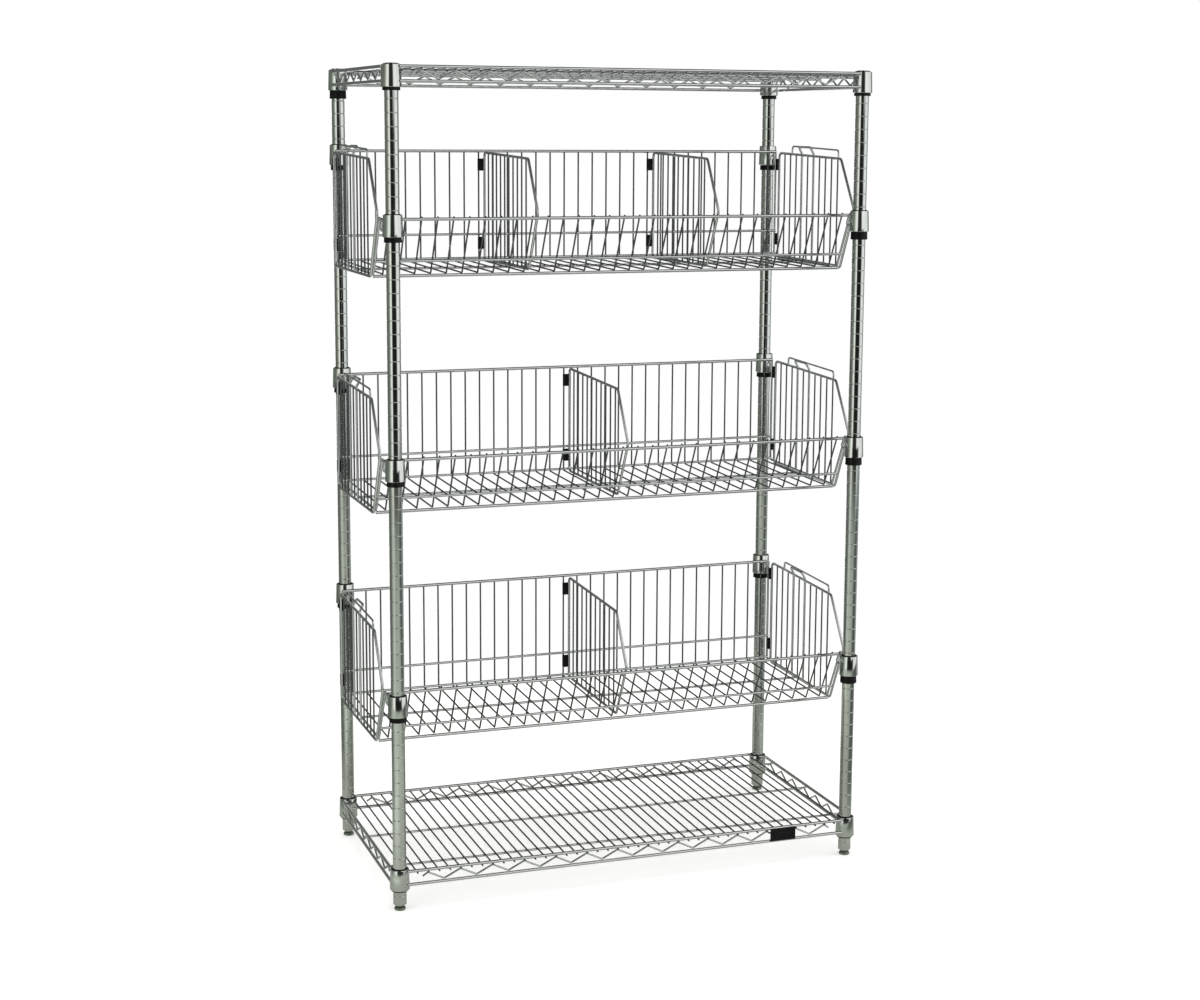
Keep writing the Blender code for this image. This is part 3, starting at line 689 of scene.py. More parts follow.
def turn_piece(profile, x, y, sides, hollow=False):
    """A turned piece from (radius, height) steps; a hollow one is a ring whose profile closes."""
    radius, height = profile[0]
    clear_selection()
    bpy.ops.mesh.primitive_circle_add(
        vertices=sides, radius=radius, fill_type="NOTHING" if hollow else "NGON", location=(x, y, height),
    )
    settle()
    bpy.ops.object.mode_set(mode="EDIT")
    bpy.ops.mesh.select_mode(type="VERT")
    bpy.ops.mesh.select_all(action="SELECT")
    for next_radius, next_height in profile[1:]:
        push((0.0, 0.0, next_height - height))
        share = next_radius / radius
        bpy.ops.transform.resize(value=(share, share, 1.0), center_override=(x, y, next_height))
        radius = next_radius
        height = next_height
    bpy.ops.mesh.select_all(action="SELECT")
    bpy.ops.mesh.remove_doubles(threshold=CLOSING_MERGE)
    close_up()
    return bpy.context.object


print("a hollow turning closes within", CLOSING_MERGE, "m")

# %% Working on chosen faces
# A face looks up, down or forward if this much of its normal does.
FACING = 0.9


def select_faces(piece, wanted):
    """Enter edit mode with only the faces selected that pass a test."""
    pick([piece])
    bpy.ops.object.mode_set(mode="EDIT")
    bpy.ops.mesh.select_mode(type="FACE")
    bpy.ops.mesh.select_all(action="DESELECT")
    leave_edit()
    for face in piece.data.polygons:
        face.select = wanted(face)
    bpy.ops.object.mode_set(mode="EDIT")


def step_in(steps):
    """Inset the selected faces by steps of (inwards, outwards) in millimetres, and leave edit mode."""
    for inwards, outwards in steps:
        bpy.ops.mesh.inset(thickness=inwards * MILLIMETRE, depth=outwards * MILLIMETRE)
    leave_edit()


post_low, post_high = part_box("post_front_right")
POST_X = (post_low.x + post_high.x) / 2
POST_Y = -(post_low.y + post_high.y) / 2
POST_RADIUS = (post_high.x - post_low.x) / 2
POST_BOTTOM = post_low.z
POST_TOP = post_high.z
CORNERS = {
    "front_left": (-POST_X, -POST_Y),
    "front_right": (POST_X, -POST_Y),
    "back_left": (-POST_X, POST_Y),
    "back_right": (POST_X, POST_Y),
}
first_corner = CORNERS["front_left"]
corner_steps = {}
for corner, (x, y) in CORNERS.items():
    corner_steps[corner] = (x - first_corner[0], y - first_corner[1], 0.0)
print("posts at", round(POST_X, 4), round(POST_Y, 4), "radius", round(POST_RADIUS, 4))

# %% [markdown]
# A post is a steel tube with a ring groove rolled in every inch, so that a shelf can be set at any of
# them. One inch of tube with its groove is turned and repeated with an Array that merges the rings, and
# the ends are then filled, inset and raised or sunk: a pressed-in cap on top, a hollow for the foot below.

# %% Posts
INCH = 25.4 * MILLIMETRE
GROOVE_WIDTH = 2.3 * MILLIMETRE
GROOVE_DEPTH = 0.55 * MILLIMETRE
# Each step is a share of the groove's width and a share of its depth.
GROOVE_STEPS = ((0.0, 0.0), (0.13, 0.55), (0.34, 0.95), (0.66, 0.95), (0.87, 0.55), (1.0, 0.0))
POST_SIDES = 32

bands = int((POST_TOP - POST_BOTTOM) / INCH)
first_band = POST_TOP - bands * INCH
plain = INCH - GROOVE_WIDTH
groove_start = first_band + plain / 2
post_profile = [(POST_RADIUS, first_band)]
for along, depth in GROOVE_STEPS:
    post_profile.append((POST_RADIUS - depth * GROOVE_DEPTH, groove_start + along * GROOVE_WIDTH))
post_profile.append((POST_RADIUS, first_band + INCH))
post = turn_piece(post_profile, *first_corner, sides=POST_SIDES, hollow=True)
row(post, bands, (0.0, 0.0, INCH), merge=True)
pick([post])
edit_all()
bpy.ops.mesh.fill_holes(sides=0)
close_up()
print("post bands", bands, "faces", len(post.data.polygons))

# %% Post ends
CAP_STEPS = ((0.5, 0.0), (0.4, -0.9), (0.5, 1.6), (3.0, 0.7))
HOLLOW_STEPS = ((1.3, 0.0), (0.3, -6.0))
BOTTOM_EDGE = 0.6 * MILLIMETRE
BOTTOM_NARROWING = 0.96

select_faces(post, lambda face: face.normal.z > FACING and face.center.z > POST_TOP - MILLIMETRE)
step_in(CAP_STEPS)
select_faces(post, lambda face: face.normal.z < -FACING and face.center.z < first_band + MILLIMETRE)
push((0.0, 0.0, POST_BOTTOM + BOTTOM_EDGE - first_band))
push((0.0, 0.0, -BOTTOM_EDGE))
bpy.ops.transform.resize(
    value=(BOTTOM_NARROWING, BOTTOM_NARROWING, 1.0), center_override=(*first_corner, POST_BOTTOM),
)
step_in(HOLLOW_STEPS)
for corner, piece in copies_of(post, corner_steps):
    dress(piece, f"post_{corner}_tube", "frame", chrome_tube, [f"post_{corner}"])
print("posts", len(corner_steps))

# %% [markdown]
# A levelling foot is a turned pad under a hexagon nut on a screw. The pad and the screw come off the same
# lathe helper, the screw's thread as small ridges, and the nut is a six-sided turning.

# %% Feet
PAD_RADIUS = 11.0 * MILLIMETRE
PAD_HEIGHT = 6.0 * MILLIMETRE
FOOT_SIDES = 24
SCREW_RADIUS = 4.4 * MILLIMETRE
SCREW_TOP = 45.0 * MILLIMETRE
THREAD_START = PAD_HEIGHT + 1.0 * MILLIMETRE
THREAD_ROOT = SCREW_RADIUS - 0.6 * MILLIMETRE
THREAD_PITCH = 1.25 * MILLIMETRE
THREAD_COUNT = 15
NUT_RADIUS = 7.4 * MILLIMETRE
NUT_CORNER = 0.9 * MILLIMETRE
NUT_BOTTOM = PAD_HEIGHT + 0.2 * MILLIMETRE
NUT_TOP = PAD_HEIGHT + 4.2 * MILLIMETRE
NUT_SIDES = 6

foot_profile = [
    (PAD_RADIUS - 1.6 * MILLIMETRE, 0.0),
    (PAD_RADIUS - 0.5 * MILLIMETRE, 0.4 * MILLIMETRE),
    (PAD_RADIUS, 1.3 * MILLIMETRE),
    (PAD_RADIUS, PAD_HEIGHT - 2.0 * MILLIMETRE),
    (PAD_RADIUS - 0.7 * MILLIMETRE, PAD_HEIGHT - 0.8 * MILLIMETRE),
    (PAD_RADIUS - 2.2 * MILLIMETRE, PAD_HEIGHT),
    (SCREW_RADIUS + 1.0 * MILLIMETRE, PAD_HEIGHT + 0.4 * MILLIMETRE),
    (THREAD_ROOT, THREAD_START),
]
for index in range(THREAD_COUNT):
    ridge = THREAD_START + (index + 0.5) * THREAD_PITCH
    foot_profile.append((SCREW_RADIUS, ridge))
    foot_profile.append((THREAD_ROOT, ridge + THREAD_PITCH / 2))
foot_profile.append((THREAD_ROOT, SCREW_TOP))
nut_profile = (
    (NUT_RADIUS - NUT_CORNER, NUT_BOTTOM),
    (NUT_RADIUS, NUT_BOTTOM + 0.5 * MILLIMETRE),
    (NUT_RADIUS, NUT_TOP - 0.6 * MILLIMETRE),
    (NUT_RADIUS - NUT_CORNER, NUT_TOP),
)
pad_and_screw = turn_piece(foot_profile, *first_corner, FOOT_SIDES)
nut = turn_piece(nut_profile, *first_corner, NUT_SIDES)
for corner, piece in copies_of(weld([pad_and_screw, nut]), corner_steps):
    dress(piece, f"foot_{corner}_screw", f"{corner}_foot", turned_foot, [f"foot_{corner}"])
print("feet", len(corner_steps), "with", THREAD_COUNT, "ridges each")

# %% [markdown]
# Each level sits on four tapered sleeves that snap into a groove of the post. A sleeve is two halves
# of moulded nylon with a seam between them. It is turned whole, cut in half with Bisect, which fills the
# cut, and the half is copied and turned round. Each length of sleeve is made once and copied.

# %% Split sleeve
SLEEVE_SIDES = 36
SEAM = 0.35 * MILLIMETRE
SLEEVE_BORE = POST_RADIUS + 0.25 * MILLIMETRE
SLEEVE_TOP_RADIUS = SLEEVE_BORE + 1.9 * MILLIMETRE
SLEEVE_EDGE = 0.7 * MILLIMETRE


def split_sleeve(low, high):
    """A two-piece sleeve in the box of a sleeve of the frame."""
    x = (low.x + high.x) / 2
    y = (low.y + high.y) / 2
    wide = (high.x - low.x) / 2
    profile = (
        (SLEEVE_BORE, low.z),
        (wide - SLEEVE_EDGE, low.z),
        (wide, low.z + SLEEVE_EDGE),
        (wide, low.z + 2.0 * MILLIMETRE),
        (wide - 0.25 * MILLIMETRE, low.z + 2.6 * MILLIMETRE),
        (SLEEVE_TOP_RADIUS + 0.1 * MILLIMETRE, high.z - SLEEVE_EDGE),
        (SLEEVE_TOP_RADIUS - 0.4 * MILLIMETRE, high.z),
        (SLEEVE_BORE, high.z),
        (SLEEVE_BORE, low.z),
    )
    half = turn_piece(profile, x, y, SLEEVE_SIDES, hollow=True)
    edit_all()
    bpy.ops.mesh.bisect(
        plane_co=(x, y + SEAM, 0.0), plane_no=(0.0, 1.0, 0.0), use_fill=True, clear_inner=True,
    )
    close_up()
    edit_all()
    bpy.ops.mesh.duplicate()
    bpy.ops.transform.rotate(value=pi, orient_axis="Z", center_override=(x, y, 0.0))
    leave_edit()
    return half


print("sleeve bore", round(SLEEVE_BORE, 5))

# %% Sleeves
BASKETS = ("lower_basket", "middle_basket", "upper_basket")
LEVELS = ("bottom_shelf", *BASKETS, "top_shelf")

sleeve_masters = {}
sleeves = {}
for level in LEVELS:
    for corner in CORNERS:
        node = f"sleeve_{level}_{corner}"
        low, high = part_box(node)
        length = round((high.z - low.z) / MILLIMETRE)
        if length not in sleeve_masters:
            sleeve_masters[length] = (split_sleeve(low, high), low.copy())
        master, master_low = sleeve_masters[length]
        sleeves[node] = copy_to(master, low - master_low)
for master, _ in sleeve_masters.values():
    discard(master)
for node, sleeve in sleeves.items():
    dress(sleeve, f"{node}_halves", "frame", black_nylon, [node])
print("sleeves", len(sleeves), "in lengths", sorted(sleeve_masters))

# %% [markdown]
# A collar is a short tapered tube that is welded to the corner of a shelf or basket and drops over a
# sleeve. It is turned as a hollow ring with rounded edges, once, and copied to each corner.

# %% Collar
COLLAR_HEIGHT = 41.0 * MILLIMETRE
COLLAR_TOP_BORE = 15.645 * MILLIMETRE
COLLAR_BOTTOM_BORE = 16.875 * MILLIMETRE
COLLAR_WALL = 2.5 * MILLIMETRE
COLLAR_EDGE = 0.7 * MILLIMETRE
COLLAR_SIDES = 36

collar_profile = (
    (COLLAR_BOTTOM_BORE, COLLAR_EDGE - COLLAR_HEIGHT),
    (COLLAR_BOTTOM_BORE + COLLAR_EDGE, -COLLAR_HEIGHT),
    (COLLAR_BOTTOM_BORE + COLLAR_WALL - COLLAR_EDGE, -COLLAR_HEIGHT),
    (COLLAR_BOTTOM_BORE + COLLAR_WALL, COLLAR_EDGE - COLLAR_HEIGHT),
    (COLLAR_TOP_BORE + COLLAR_WALL, -1.4 * COLLAR_EDGE),
    (COLLAR_TOP_BORE + COLLAR_WALL - 0.4 * COLLAR_EDGE, -0.4 * COLLAR_EDGE),
    (COLLAR_TOP_BORE + COLLAR_WALL - 1.4 * COLLAR_EDGE, 0.0),
    (COLLAR_TOP_BORE + 0.5 * COLLAR_EDGE, 0.0),
    (COLLAR_TOP_BORE, -0.5 * COLLAR_EDGE),
    (COLLAR_BOTTOM_BORE, COLLAR_EDGE - COLLAR_HEIGHT),
)
collar = turn_piece(collar_profile, 0.0, 0.0, COLLAR_SIDES, hollow=True)
collar.data.materials.append(chrome_tube)


def collar_at(corner, top):
    """A collar at one corner, with its top at a height."""
    return copy_to(collar, (*CORNERS[corner], top))


print("collar faces", len(collar.data.polygons))

# %% [markdown]
# A truss shelf has two rails round it with a zigzag wire between them, wires from front to back that
# pass under the top rail, and three stouter wires under those. The wires are one wire and an Array. The
# zigzag is one long path of runs and bends, and its two ends are left as short free stubs. The top
# shelf is a copy whose thin wires are painted paler, as painted light where the top of the unit is lit more.

# %% Shelf values
SHELF_RAIL = 6.4 * MILLIMETRE
SHELF_WIRE = 3.4 * MILLIMETRE
UNDER_WIRE = 4.8 * MILLIMETRE
UNDER_INSET = 45.0 * MILLIMETRE
RAIL_OUTSET = 13.5 * MILLIMETRE
RAIL_END_INSET = 12.0 * MILLIMETRE
TOP_RAIL_DROP = 3.5 * MILLIMETRE
BOTTOM_RAIL_DROP = 30.0 * MILLIMETRE
SHELF_PITCH = 21.75 * MILLIMETRE
SHELF_WIRES = 42
# Wires that cross are sunk this far into each other, and their ends pass the rail by a nub.
WELD = 0.9 * MILLIMETRE
NUB = 4.2 * MILLIMETRE

shelf_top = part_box("bottom_shelf")[1].z
front_rail_y = POST_Y + RAIL_OUTSET
side_rail_x = POST_X + RAIL_OUTSET
top_rail_z = shelf_top - TOP_RAIL_DROP
bottom_rail_z = shelf_top - BOTTOM_RAIL_DROP
wire_z = top_rail_z - SHELF_RAIL / 2 - SHELF_WIRE / 2 + WELD
under_z = wire_z - SHELF_WIRE / 2 - UNDER_WIRE / 2 + WELD
rail_end_x = POST_X - RAIL_END_INSET
rail_end_y = POST_Y - RAIL_END_INSET
print("shelf top at", round(shelf_top, 4), "wires at", round(wire_z, 4))

# %% Shelf rails and wires
shelf_rails = []
for z in (top_rail_z, bottom_rail_z):
    for side in (-1, 1):
        shelf_rails.append(wire_along(rail_end_x, side * front_rail_y, z, SHELF_RAIL))
        shelf_rails.append(wire_across(side * side_rail_x, rail_end_y, z, SHELF_RAIL))
first_x = -(SHELF_WIRES - 1) / 2 * SHELF_PITCH
cross_wire = wire_across(first_x, front_rail_y + NUB, wire_z, SHELF_WIRE)
shelf_wires = [row(cross_wire, SHELF_WIRES, (SHELF_PITCH, 0.0, 0.0))]
for side in (-1, 1):
    shelf_wires.append(wire_across(side * rail_end_x, rail_end_y - MILLIMETRE, wire_z, SHELF_WIRE))
for y in (-POST_Y + UNDER_INSET, 0.0, POST_Y - UNDER_INSET):
    shelf_rails.append(wire_along(side_rail_x + NUB, y, under_z, UNDER_WIRE))
print("shelf rails", len(shelf_rails), "and cross wires", SHELF_WIRES)

# %% Shelf zigzags
ZIGZAG_WIRE = 3.8 * MILLIMETRE
ZIGZAG_BEND = 4.0 * MILLIMETRE
ZIGZAG_INSET = 2.4 * MILLIMETRE
STUB_LENGTH = 11.0 * MILLIMETRE
STUB_FALL = 7.0 * MILLIMETRE
# From its middle, a zigzag has this many bends to each end, this far apart.
LONG_BENDS = 13
LONG_STEP = 1.5 * SHELF_PITCH
SIDE_BENDS = 6
SIDE_STEP = 30.0 * MILLIMETRE

zigzag_top = top_rail_z - 6.4 * MILLIMETRE
zigzag_bottom = bottom_rail_z + 4.2 * MILLIMETRE


def zigzag_stations(half_count, step):
    """Distances and heights of a zigzag's bends, with a short stub at each end."""
    reach = half_count * step
    stations = [(-reach - STUB_LENGTH, zigzag_top - STUB_FALL)]
    for index in range(-half_count, half_count + 1):
        is_top = (index + half_count) % 2 == 0
        stations.append((index * step, zigzag_top if is_top else zigzag_bottom))
    stations.append((reach + STUB_LENGTH, zigzag_top - STUB_FALL))
    return stations


long_stations = zigzag_stations(LONG_BENDS, LONG_STEP)
side_stations = zigzag_stations(SIDE_BENDS, SIDE_STEP)
for side in (-1, 1):
    y = side * (front_rail_y - ZIGZAG_INSET)
    shelf_rails.append(bend_wire([(s, y, z) for s, z in long_stations], ZIGZAG_WIRE, ZIGZAG_BEND))
    x = side * (side_rail_x - ZIGZAG_INSET)
    shelf_rails.append(bend_wire([(x, s, z) for s, z in side_stations], ZIGZAG_WIRE, ZIGZAG_BEND))
print("zigzag bends", len(long_stations) - 2, "along and", len(side_stations) - 2, "across")

# %% Two shelves
shelf_parts = coat(shelf_rails, plated_rail) + coat(shelf_wires, thin_wire_painted_shade)
shelf_collars = [collar_at(corner, shelf_top) for corner in CORNERS]
bottom_shelf = weld(shelf_parts + shelf_collars)
top_shelf = copy_to(bottom_shelf, (0.0, 0.0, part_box("top_shelf")[1].z - shelf_top))
# The top shelf's thin wires get the paler finish, which is painted light.
for finish_slot in top_shelf.material_slots:
    if finish_slot.material == thin_wire_painted_shade:
        finish_slot.material = top_shelf_wire_painted_light
dress(bottom_shelf, "bottom_shelf_truss", "frame", thin_wire_painted_shade, ["bottom_shelf"])
dress(top_shelf, "top_shelf_truss", "top_shelf", thin_wire_painted_shade, ["top_shelf"])
print("shelf faces", len(bottom_shelf.data.polygons))

# %% [markdown]
# A basket is a mat of wires, each bent once at the back and once at the front, on rails that run from
# end to end. One wire is bent down the back, along the floor and up the sloping lip, and an Array makes
# the row. Stouter wires close the two ends, and bent arms join the lip to its collars.

# %% Basket values
BASKET_RAIL = 6.4 * MILLIMETRE
SMALL_RAIL = 5.2 * MILLIMETRE
BASKET_WIRE = 3.4 * MILLIMETRE
END_WIRE = 5.0 * MILLIMETRE
BASKET_PITCH = 31.3 * MILLIMETRE
BASKET_WIRES = 31
BASKET_BEND = 5.0 * MILLIMETRE
END_X = POST_X + 10 * MILLIMETRE
BACK_Y = POST_Y - 20 * MILLIMETRE
BACK_COLLAR_RISE = 244.5 * MILLIMETRE
FRONT_COLLAR_RISE = 121.5 * MILLIMETRE
BACK_RAIL_RISE = 232.5 * MILLIMETRE
MID_RAIL_RISE = 61.0 * MILLIMETRE
BACK_LOW_RAIL_RISE = 11.5 * MILLIMETRE
FLOOR_FRONT_Y = -POST_Y + 116 * MILLIMETRE
LIP_TOP_Y = -POST_Y + 58 * MILLIMETRE
LIP_TOP_RISE = 110.0 * MILLIMETRE
LIP_LOW_RISE = 29.0 * MILLIMETRE
WIRE_TIP = 3.5 * MILLIMETRE
# At the top of the lip a wire is pressed a little deeper into its rail.
TIP_PRESS = 0.9

floor_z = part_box("lower_basket_back_grid")[1].z - BACK_COLLAR_RISE
lip_foot = Vector((0.0, FLOOR_FRONT_Y, floor_z))
lip_head = Vector((0.0, LIP_TOP_Y, floor_z + LIP_TOP_RISE))
lip_rise = (lip_head - lip_foot).normalized()
lip_out = Vector((1.0, 0.0, 0.0)).cross(lip_rise)
to_rail = BASKET_RAIL / 2 + BASKET_WIRE / 2 - WELD
to_small_rail = SMALL_RAIL / 2 + BASKET_WIRE / 2 - WELD
print("basket floor at", round(floor_z, 4), "lip leans", round(degrees(atan2(-lip_rise.y, lip_rise.z)), 1))

# %% Basket wires
# The wires turn right under the low back rail, lie on the front rail and turn up behind it.
wire_back_z = floor_z + BACK_LOW_RAIL_RISE - to_small_rail
wire_front_z = floor_z + to_rail
lip_start = lip_foot - lip_out * to_rail
lip_turn = lip_start + lip_rise * ((wire_front_z - lip_start.z) / lip_rise.z)
lip_tip = lip_head - lip_out * to_rail * TIP_PRESS + lip_rise * WIRE_TIP


def basket_path(x):
    """Path of one basket wire: down the back, along the floor and up the lip."""
    return [
        (x, BACK_Y, floor_z + BACK_RAIL_RISE),
        (x, BACK_Y, wire_back_z),
        (x, lip_turn.y, wire_front_z),
        (x, lip_tip.y, lip_tip.z),
    ]


first_x = -(BASKET_WIRES - 1) / 2 * BASKET_PITCH
basket_wire = bend_wire(basket_path(first_x), BASKET_WIRE, BASKET_BEND)
basket_wires = [row(basket_wire, BASKET_WIRES, (BASKET_PITCH, 0.0, 0.0))]
basket_rails = []
for side in (-1, 1):
    basket_rails.append(bend_wire(basket_path(side * END_X), END_WIRE, BASKET_BEND))
print("basket wires", BASKET_WIRES, "from x", round(first_x, 4))

# %% Basket rails
RAIL_OVERHANG = 1.5 * MILLIMETRE

inside_back = BACK_Y - to_small_rail
floor_middle_y = (BACK_Y + lip_turn.y) / 2
floor_middle_z = (wire_back_z + wire_front_z) / 2 - to_small_rail
lip_wire_run = lip_tip - lip_turn
lip_low = lip_turn + lip_wire_run * ((floor_z + LIP_LOW_RISE - lip_turn.z) / lip_wire_run.z)
lip_low.y -= to_small_rail / lip_rise.z
rail_places = (
    (BACK_Y, floor_z + BACK_RAIL_RISE, BASKET_RAIL),
    (inside_back, floor_z + MID_RAIL_RISE, SMALL_RAIL),
    (inside_back, floor_z + BACK_LOW_RAIL_RISE, SMALL_RAIL),
    (floor_middle_y, floor_middle_z, SMALL_RAIL),
    (FLOOR_FRONT_Y, floor_z, BASKET_RAIL),
    (lip_low.y, lip_low.z, SMALL_RAIL),
    (lip_head.y, lip_head.z, BASKET_RAIL),
)
for y, z, thickness in rail_places:
    basket_rails.append(wire_along(END_X + RAIL_OVERHANG, y, z, thickness))
print("basket rails", len(rail_places))

# %% Basket arms
ARM_WIRE = 6.0 * MILLIMETRE
ARM_BEND = 5.0 * MILLIMETRE
ARM_OUTSET = 6.0 * MILLIMETRE
ARM_DROP = 20.0 * MILLIMETRE
ARM_FORWARD = 1.0 * MILLIMETRE
ARM_END_Y = -POST_Y + 16 * MILLIMETRE

arm_top = lip_head + lip_out * ARM_FORWARD
arm_low = lip_head - lip_rise * (ARM_DROP / lip_rise.z)
for side in (-1, 1):
    x = side * (POST_X + ARM_OUTSET)
    arm_path = [
        (x, ARM_END_Y, arm_top.z),
        (x, arm_top.y, arm_top.z),
        (x, arm_low.y, arm_low.z),
        (x, ARM_END_Y, arm_low.z),
    ]
    basket_rails.append(bend_wire(arm_path, ARM_WIRE, ARM_BEND))
print("arms reach to y", round(ARM_END_Y, 4))

# %% Three baskets
basket_parts = coat(basket_rails, plated_rail) + coat(basket_wires, thin_wire_painted_shade)
for corner in CORNERS:
    rise = FRONT_COLLAR_RISE if corner.startswith("front") else BACK_COLLAR_RISE
    basket_parts.append(collar_at(corner, floor_z + rise))
discard(collar)
basket_steps = {}
for name in BASKETS:
    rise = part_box(f"{name}_back_grid")[1].z - BACK_COLLAR_RISE - floor_z
    basket_steps[name] = Vector((0.0, 0.0, rise))
for name, basket in copies_of(weld(basket_parts), basket_steps):
    grids = [f"{name}_{grid}_grid" for grid in ("back", "floor", "lip")]
    dress(basket, f"{name}_wires", name, thin_wire_painted_shade, grids)
print("baskets rise", [round(step.z, 4) for step in basket_steps.values()])

# %% [markdown]
# The end panels are wire frames with upright wires, and two loops on top. The frame is one wire bent
# five times whose ends meet in the middle of the floor run. Two of the uprights are stouter and go on
# above the top wire as a hook that leans in over the basket. The right panel is made, and the left one
# is its mirror image.

# %% Panel frame
PANEL_FRAME = 5.5 * MILLIMETRE
PANEL_WIRE = 3.3 * MILLIMETRE
PANEL_BEND = 10.0 * MILLIMETRE
PANEL_WIRES = 10
PANEL_GAP = 0.3 * MILLIMETRE
PANEL_X = END_X + END_WIRE / 2 + PANEL_FRAME / 2 + PANEL_GAP
PANEL_BACK_Y = POST_Y - 28 * MILLIMETRE
PANEL_BACK_RISE = 230.0 * MILLIMETRE
PANEL_FRONT_RISE = 222.0 * MILLIMETRE
PANEL_BEND_Y = -POST_Y + 121 * MILLIMETRE
PANEL_NOSE_Y = -POST_Y + 56 * MILLIMETRE
PANEL_NOSE_RISE = 120.5 * MILLIMETRE
SEAM_OVERLAP = 2 * MILLIMETRE


def panel_frame(x, back_y, low_rise, front_y, nose_y):
    """The bent frame wire of a panel or divider."""
    seam_y = (back_y + front_y) / 2
    outline = [
        (x, seam_y, floor_z + low_rise),
        (x, back_y, floor_z + low_rise),
        (x, back_y, floor_z + PANEL_BACK_RISE),
        (x, PANEL_BEND_Y, floor_z + PANEL_FRONT_RISE),
        (x, nose_y, floor_z + PANEL_NOSE_RISE),
        (x, front_y, floor_z + low_rise),
        (x, seam_y + SEAM_OVERLAP, floor_z + low_rise),
    ]
    return bend_wire(outline, PANEL_FRAME, PANEL_BEND)


def panel_top(y, back_y):
    """Height of a panel's top wire at a place along it."""
    share = (back_y - y) / (back_y - PANEL_BEND_Y)
    return floor_z + PANEL_BACK_RISE + (PANEL_FRONT_RISE - PANEL_BACK_RISE) * share


def upright_y(index, back_y):
    """Place of one upright, counted from the back. The last stands half a step behind the bend."""
    return back_y - (back_y - PANEL_BEND_Y) / (PANEL_WIRES + 0.5) * index


def panel_uprights(x, back_y, low_rise, left_out=()):
    """The upright wires of a panel, apart from those that a hook takes the place of."""
    wires = []
    for index in range(1, PANEL_WIRES + 1):
        y = upright_y(index, back_y)
        if index not in left_out:
            wires.append(bend_wire([(x, y, floor_z + low_rise), (x, y, panel_top(y, back_y))], PANEL_WIRE))
    return wires


print("panels at x", round(PANEL_X, 4))

# %% Panel loop and hook
LOOP_WIRE = 4.0 * MILLIMETRE
LOOP_BEND = 7 * MILLIMETRE
LOOP_RISE = 17.0 * MILLIMETRE
LOOP_BACK = 67.0 * MILLIMETRE
LOOP_LENGTH = 226.0 * MILLIMETRE
HOOK_WIRE = 5.0 * MILLIMETRE
HOOK_BEND = 6 * MILLIMETRE
HOOK_RISE = 17.0 * MILLIMETRE
HOOK_KNEE = 3 * MILLIMETRE
HOOK_LEAN = 8.0 * MILLIMETRE
HOOK_UPRIGHTS = (4, 6)

loop_start = PANEL_BACK_Y - LOOP_BACK
loop_end = loop_start - LOOP_LENGTH
loop_start_z = panel_top(loop_start, PANEL_BACK_Y)
loop_end_z = panel_top(loop_end, PANEL_BACK_Y)
loop_path = [
    (PANEL_X, loop_start, loop_start_z),
    (PANEL_X, loop_start, loop_start_z + LOOP_RISE),
    (PANEL_X, loop_end, loop_end_z + LOOP_RISE),
    (PANEL_X, loop_end, loop_end_z),
]
hook_back, hook_front = [upright_y(index, PANEL_BACK_Y) for index in HOOK_UPRIGHTS]
hook_start_z = panel_top(hook_back, PANEL_BACK_Y)
hook_path = [
    (PANEL_X, hook_back, floor_z),
    (PANEL_X, hook_back, hook_start_z + HOOK_KNEE),
    (PANEL_X - HOOK_LEAN, hook_back, hook_start_z + HOOK_RISE),
    (PANEL_X - HOOK_LEAN, hook_front, hook_start_z + HOOK_RISE),
    (PANEL_X, hook_front, hook_start_z + HOOK_KNEE),
    (PANEL_X, hook_front, floor_z),
]
print("hook from y", round(hook_back, 4), "to", round(hook_front, 4))

# %% End panels
panel_rails = [
    panel_frame(PANEL_X, PANEL_BACK_Y, 0.0, FLOOR_FRONT_Y, PANEL_NOSE_Y),
    bend_wire(loop_path, LOOP_WIRE, LOOP_BEND),
    bend_wire(hook_path, HOOK_WIRE, HOOK_BEND),
]
panel_wires = panel_uprights(PANEL_X, PANEL_BACK_Y, 0.0, HOOK_UPRIGHTS)
right_panel = weld(coat(panel_rails, plated_rail) + coat(panel_wires, thin_wire_painted_shade))
print("end panel faces", len(right_panel.data.polygons))
for side, master in (("left", mirror(right_panel)), ("right", right_panel)):
    for name, panel in copies_of(master, basket_steps):
        node = f"{name}_{side}_end_panel"
        dress(panel, f"{name}_{side}_end_frame", name, thin_wire_painted_shade, [node])

# %% [markdown]
# A divider is the same frame without loops, set behind the slope of the lip. It stands on the rail
# under the middle of the floor, between two wires. One is bent at the place of the lower basket's
# divider and copied to all four places.

# %% Dividers
DIVIDERS = {
    "lower_basket_divider": "lower_basket",
    "middle_basket_divider": "middle_basket",
    "upper_basket_left_divider": "upper_basket",
    "upper_basket_right_divider": "upper_basket",
}


def node_middle(node):
    """Middle of a node of the frame."""
    low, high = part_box(node)
    return (low + high) / 2


divider_x = node_middle("lower_basket_divider").x
divider_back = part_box("lower_basket_divider")[1].y - PANEL_FRAME / 2
divider_rise = floor_middle_z + SMALL_RAIL / 2 + PANEL_FRAME / 2 - floor_z
lip_lean = -lip_rise.y / lip_rise.z
divider_inset = (BASKET_RAIL / 2 + PANEL_GAP + PANEL_FRAME / 2) / lip_rise.z
divider_front = FLOOR_FRONT_Y + divider_inset - lip_lean * divider_rise
divider_nose = FLOOR_FRONT_Y + divider_inset - lip_lean * PANEL_NOSE_RISE
divider_frames = [panel_frame(divider_x, divider_back, divider_rise, divider_front, divider_nose)]
divider_wires = panel_uprights(divider_x, divider_back, divider_rise)
divider = weld(coat(divider_frames, plated_rail) + coat(divider_wires, thin_wire_painted_shade))
divider_steps = {}
for node, basket in DIVIDERS.items():
    divider_steps[node] = basket_steps[basket] + Vector((node_middle(node).x - divider_x, 0.0, 0.0))
for node, piece in copies_of(divider, divider_steps):
    dress(piece, f"{node}_frame", DIVIDERS[node], thin_wire_painted_shade, [node])
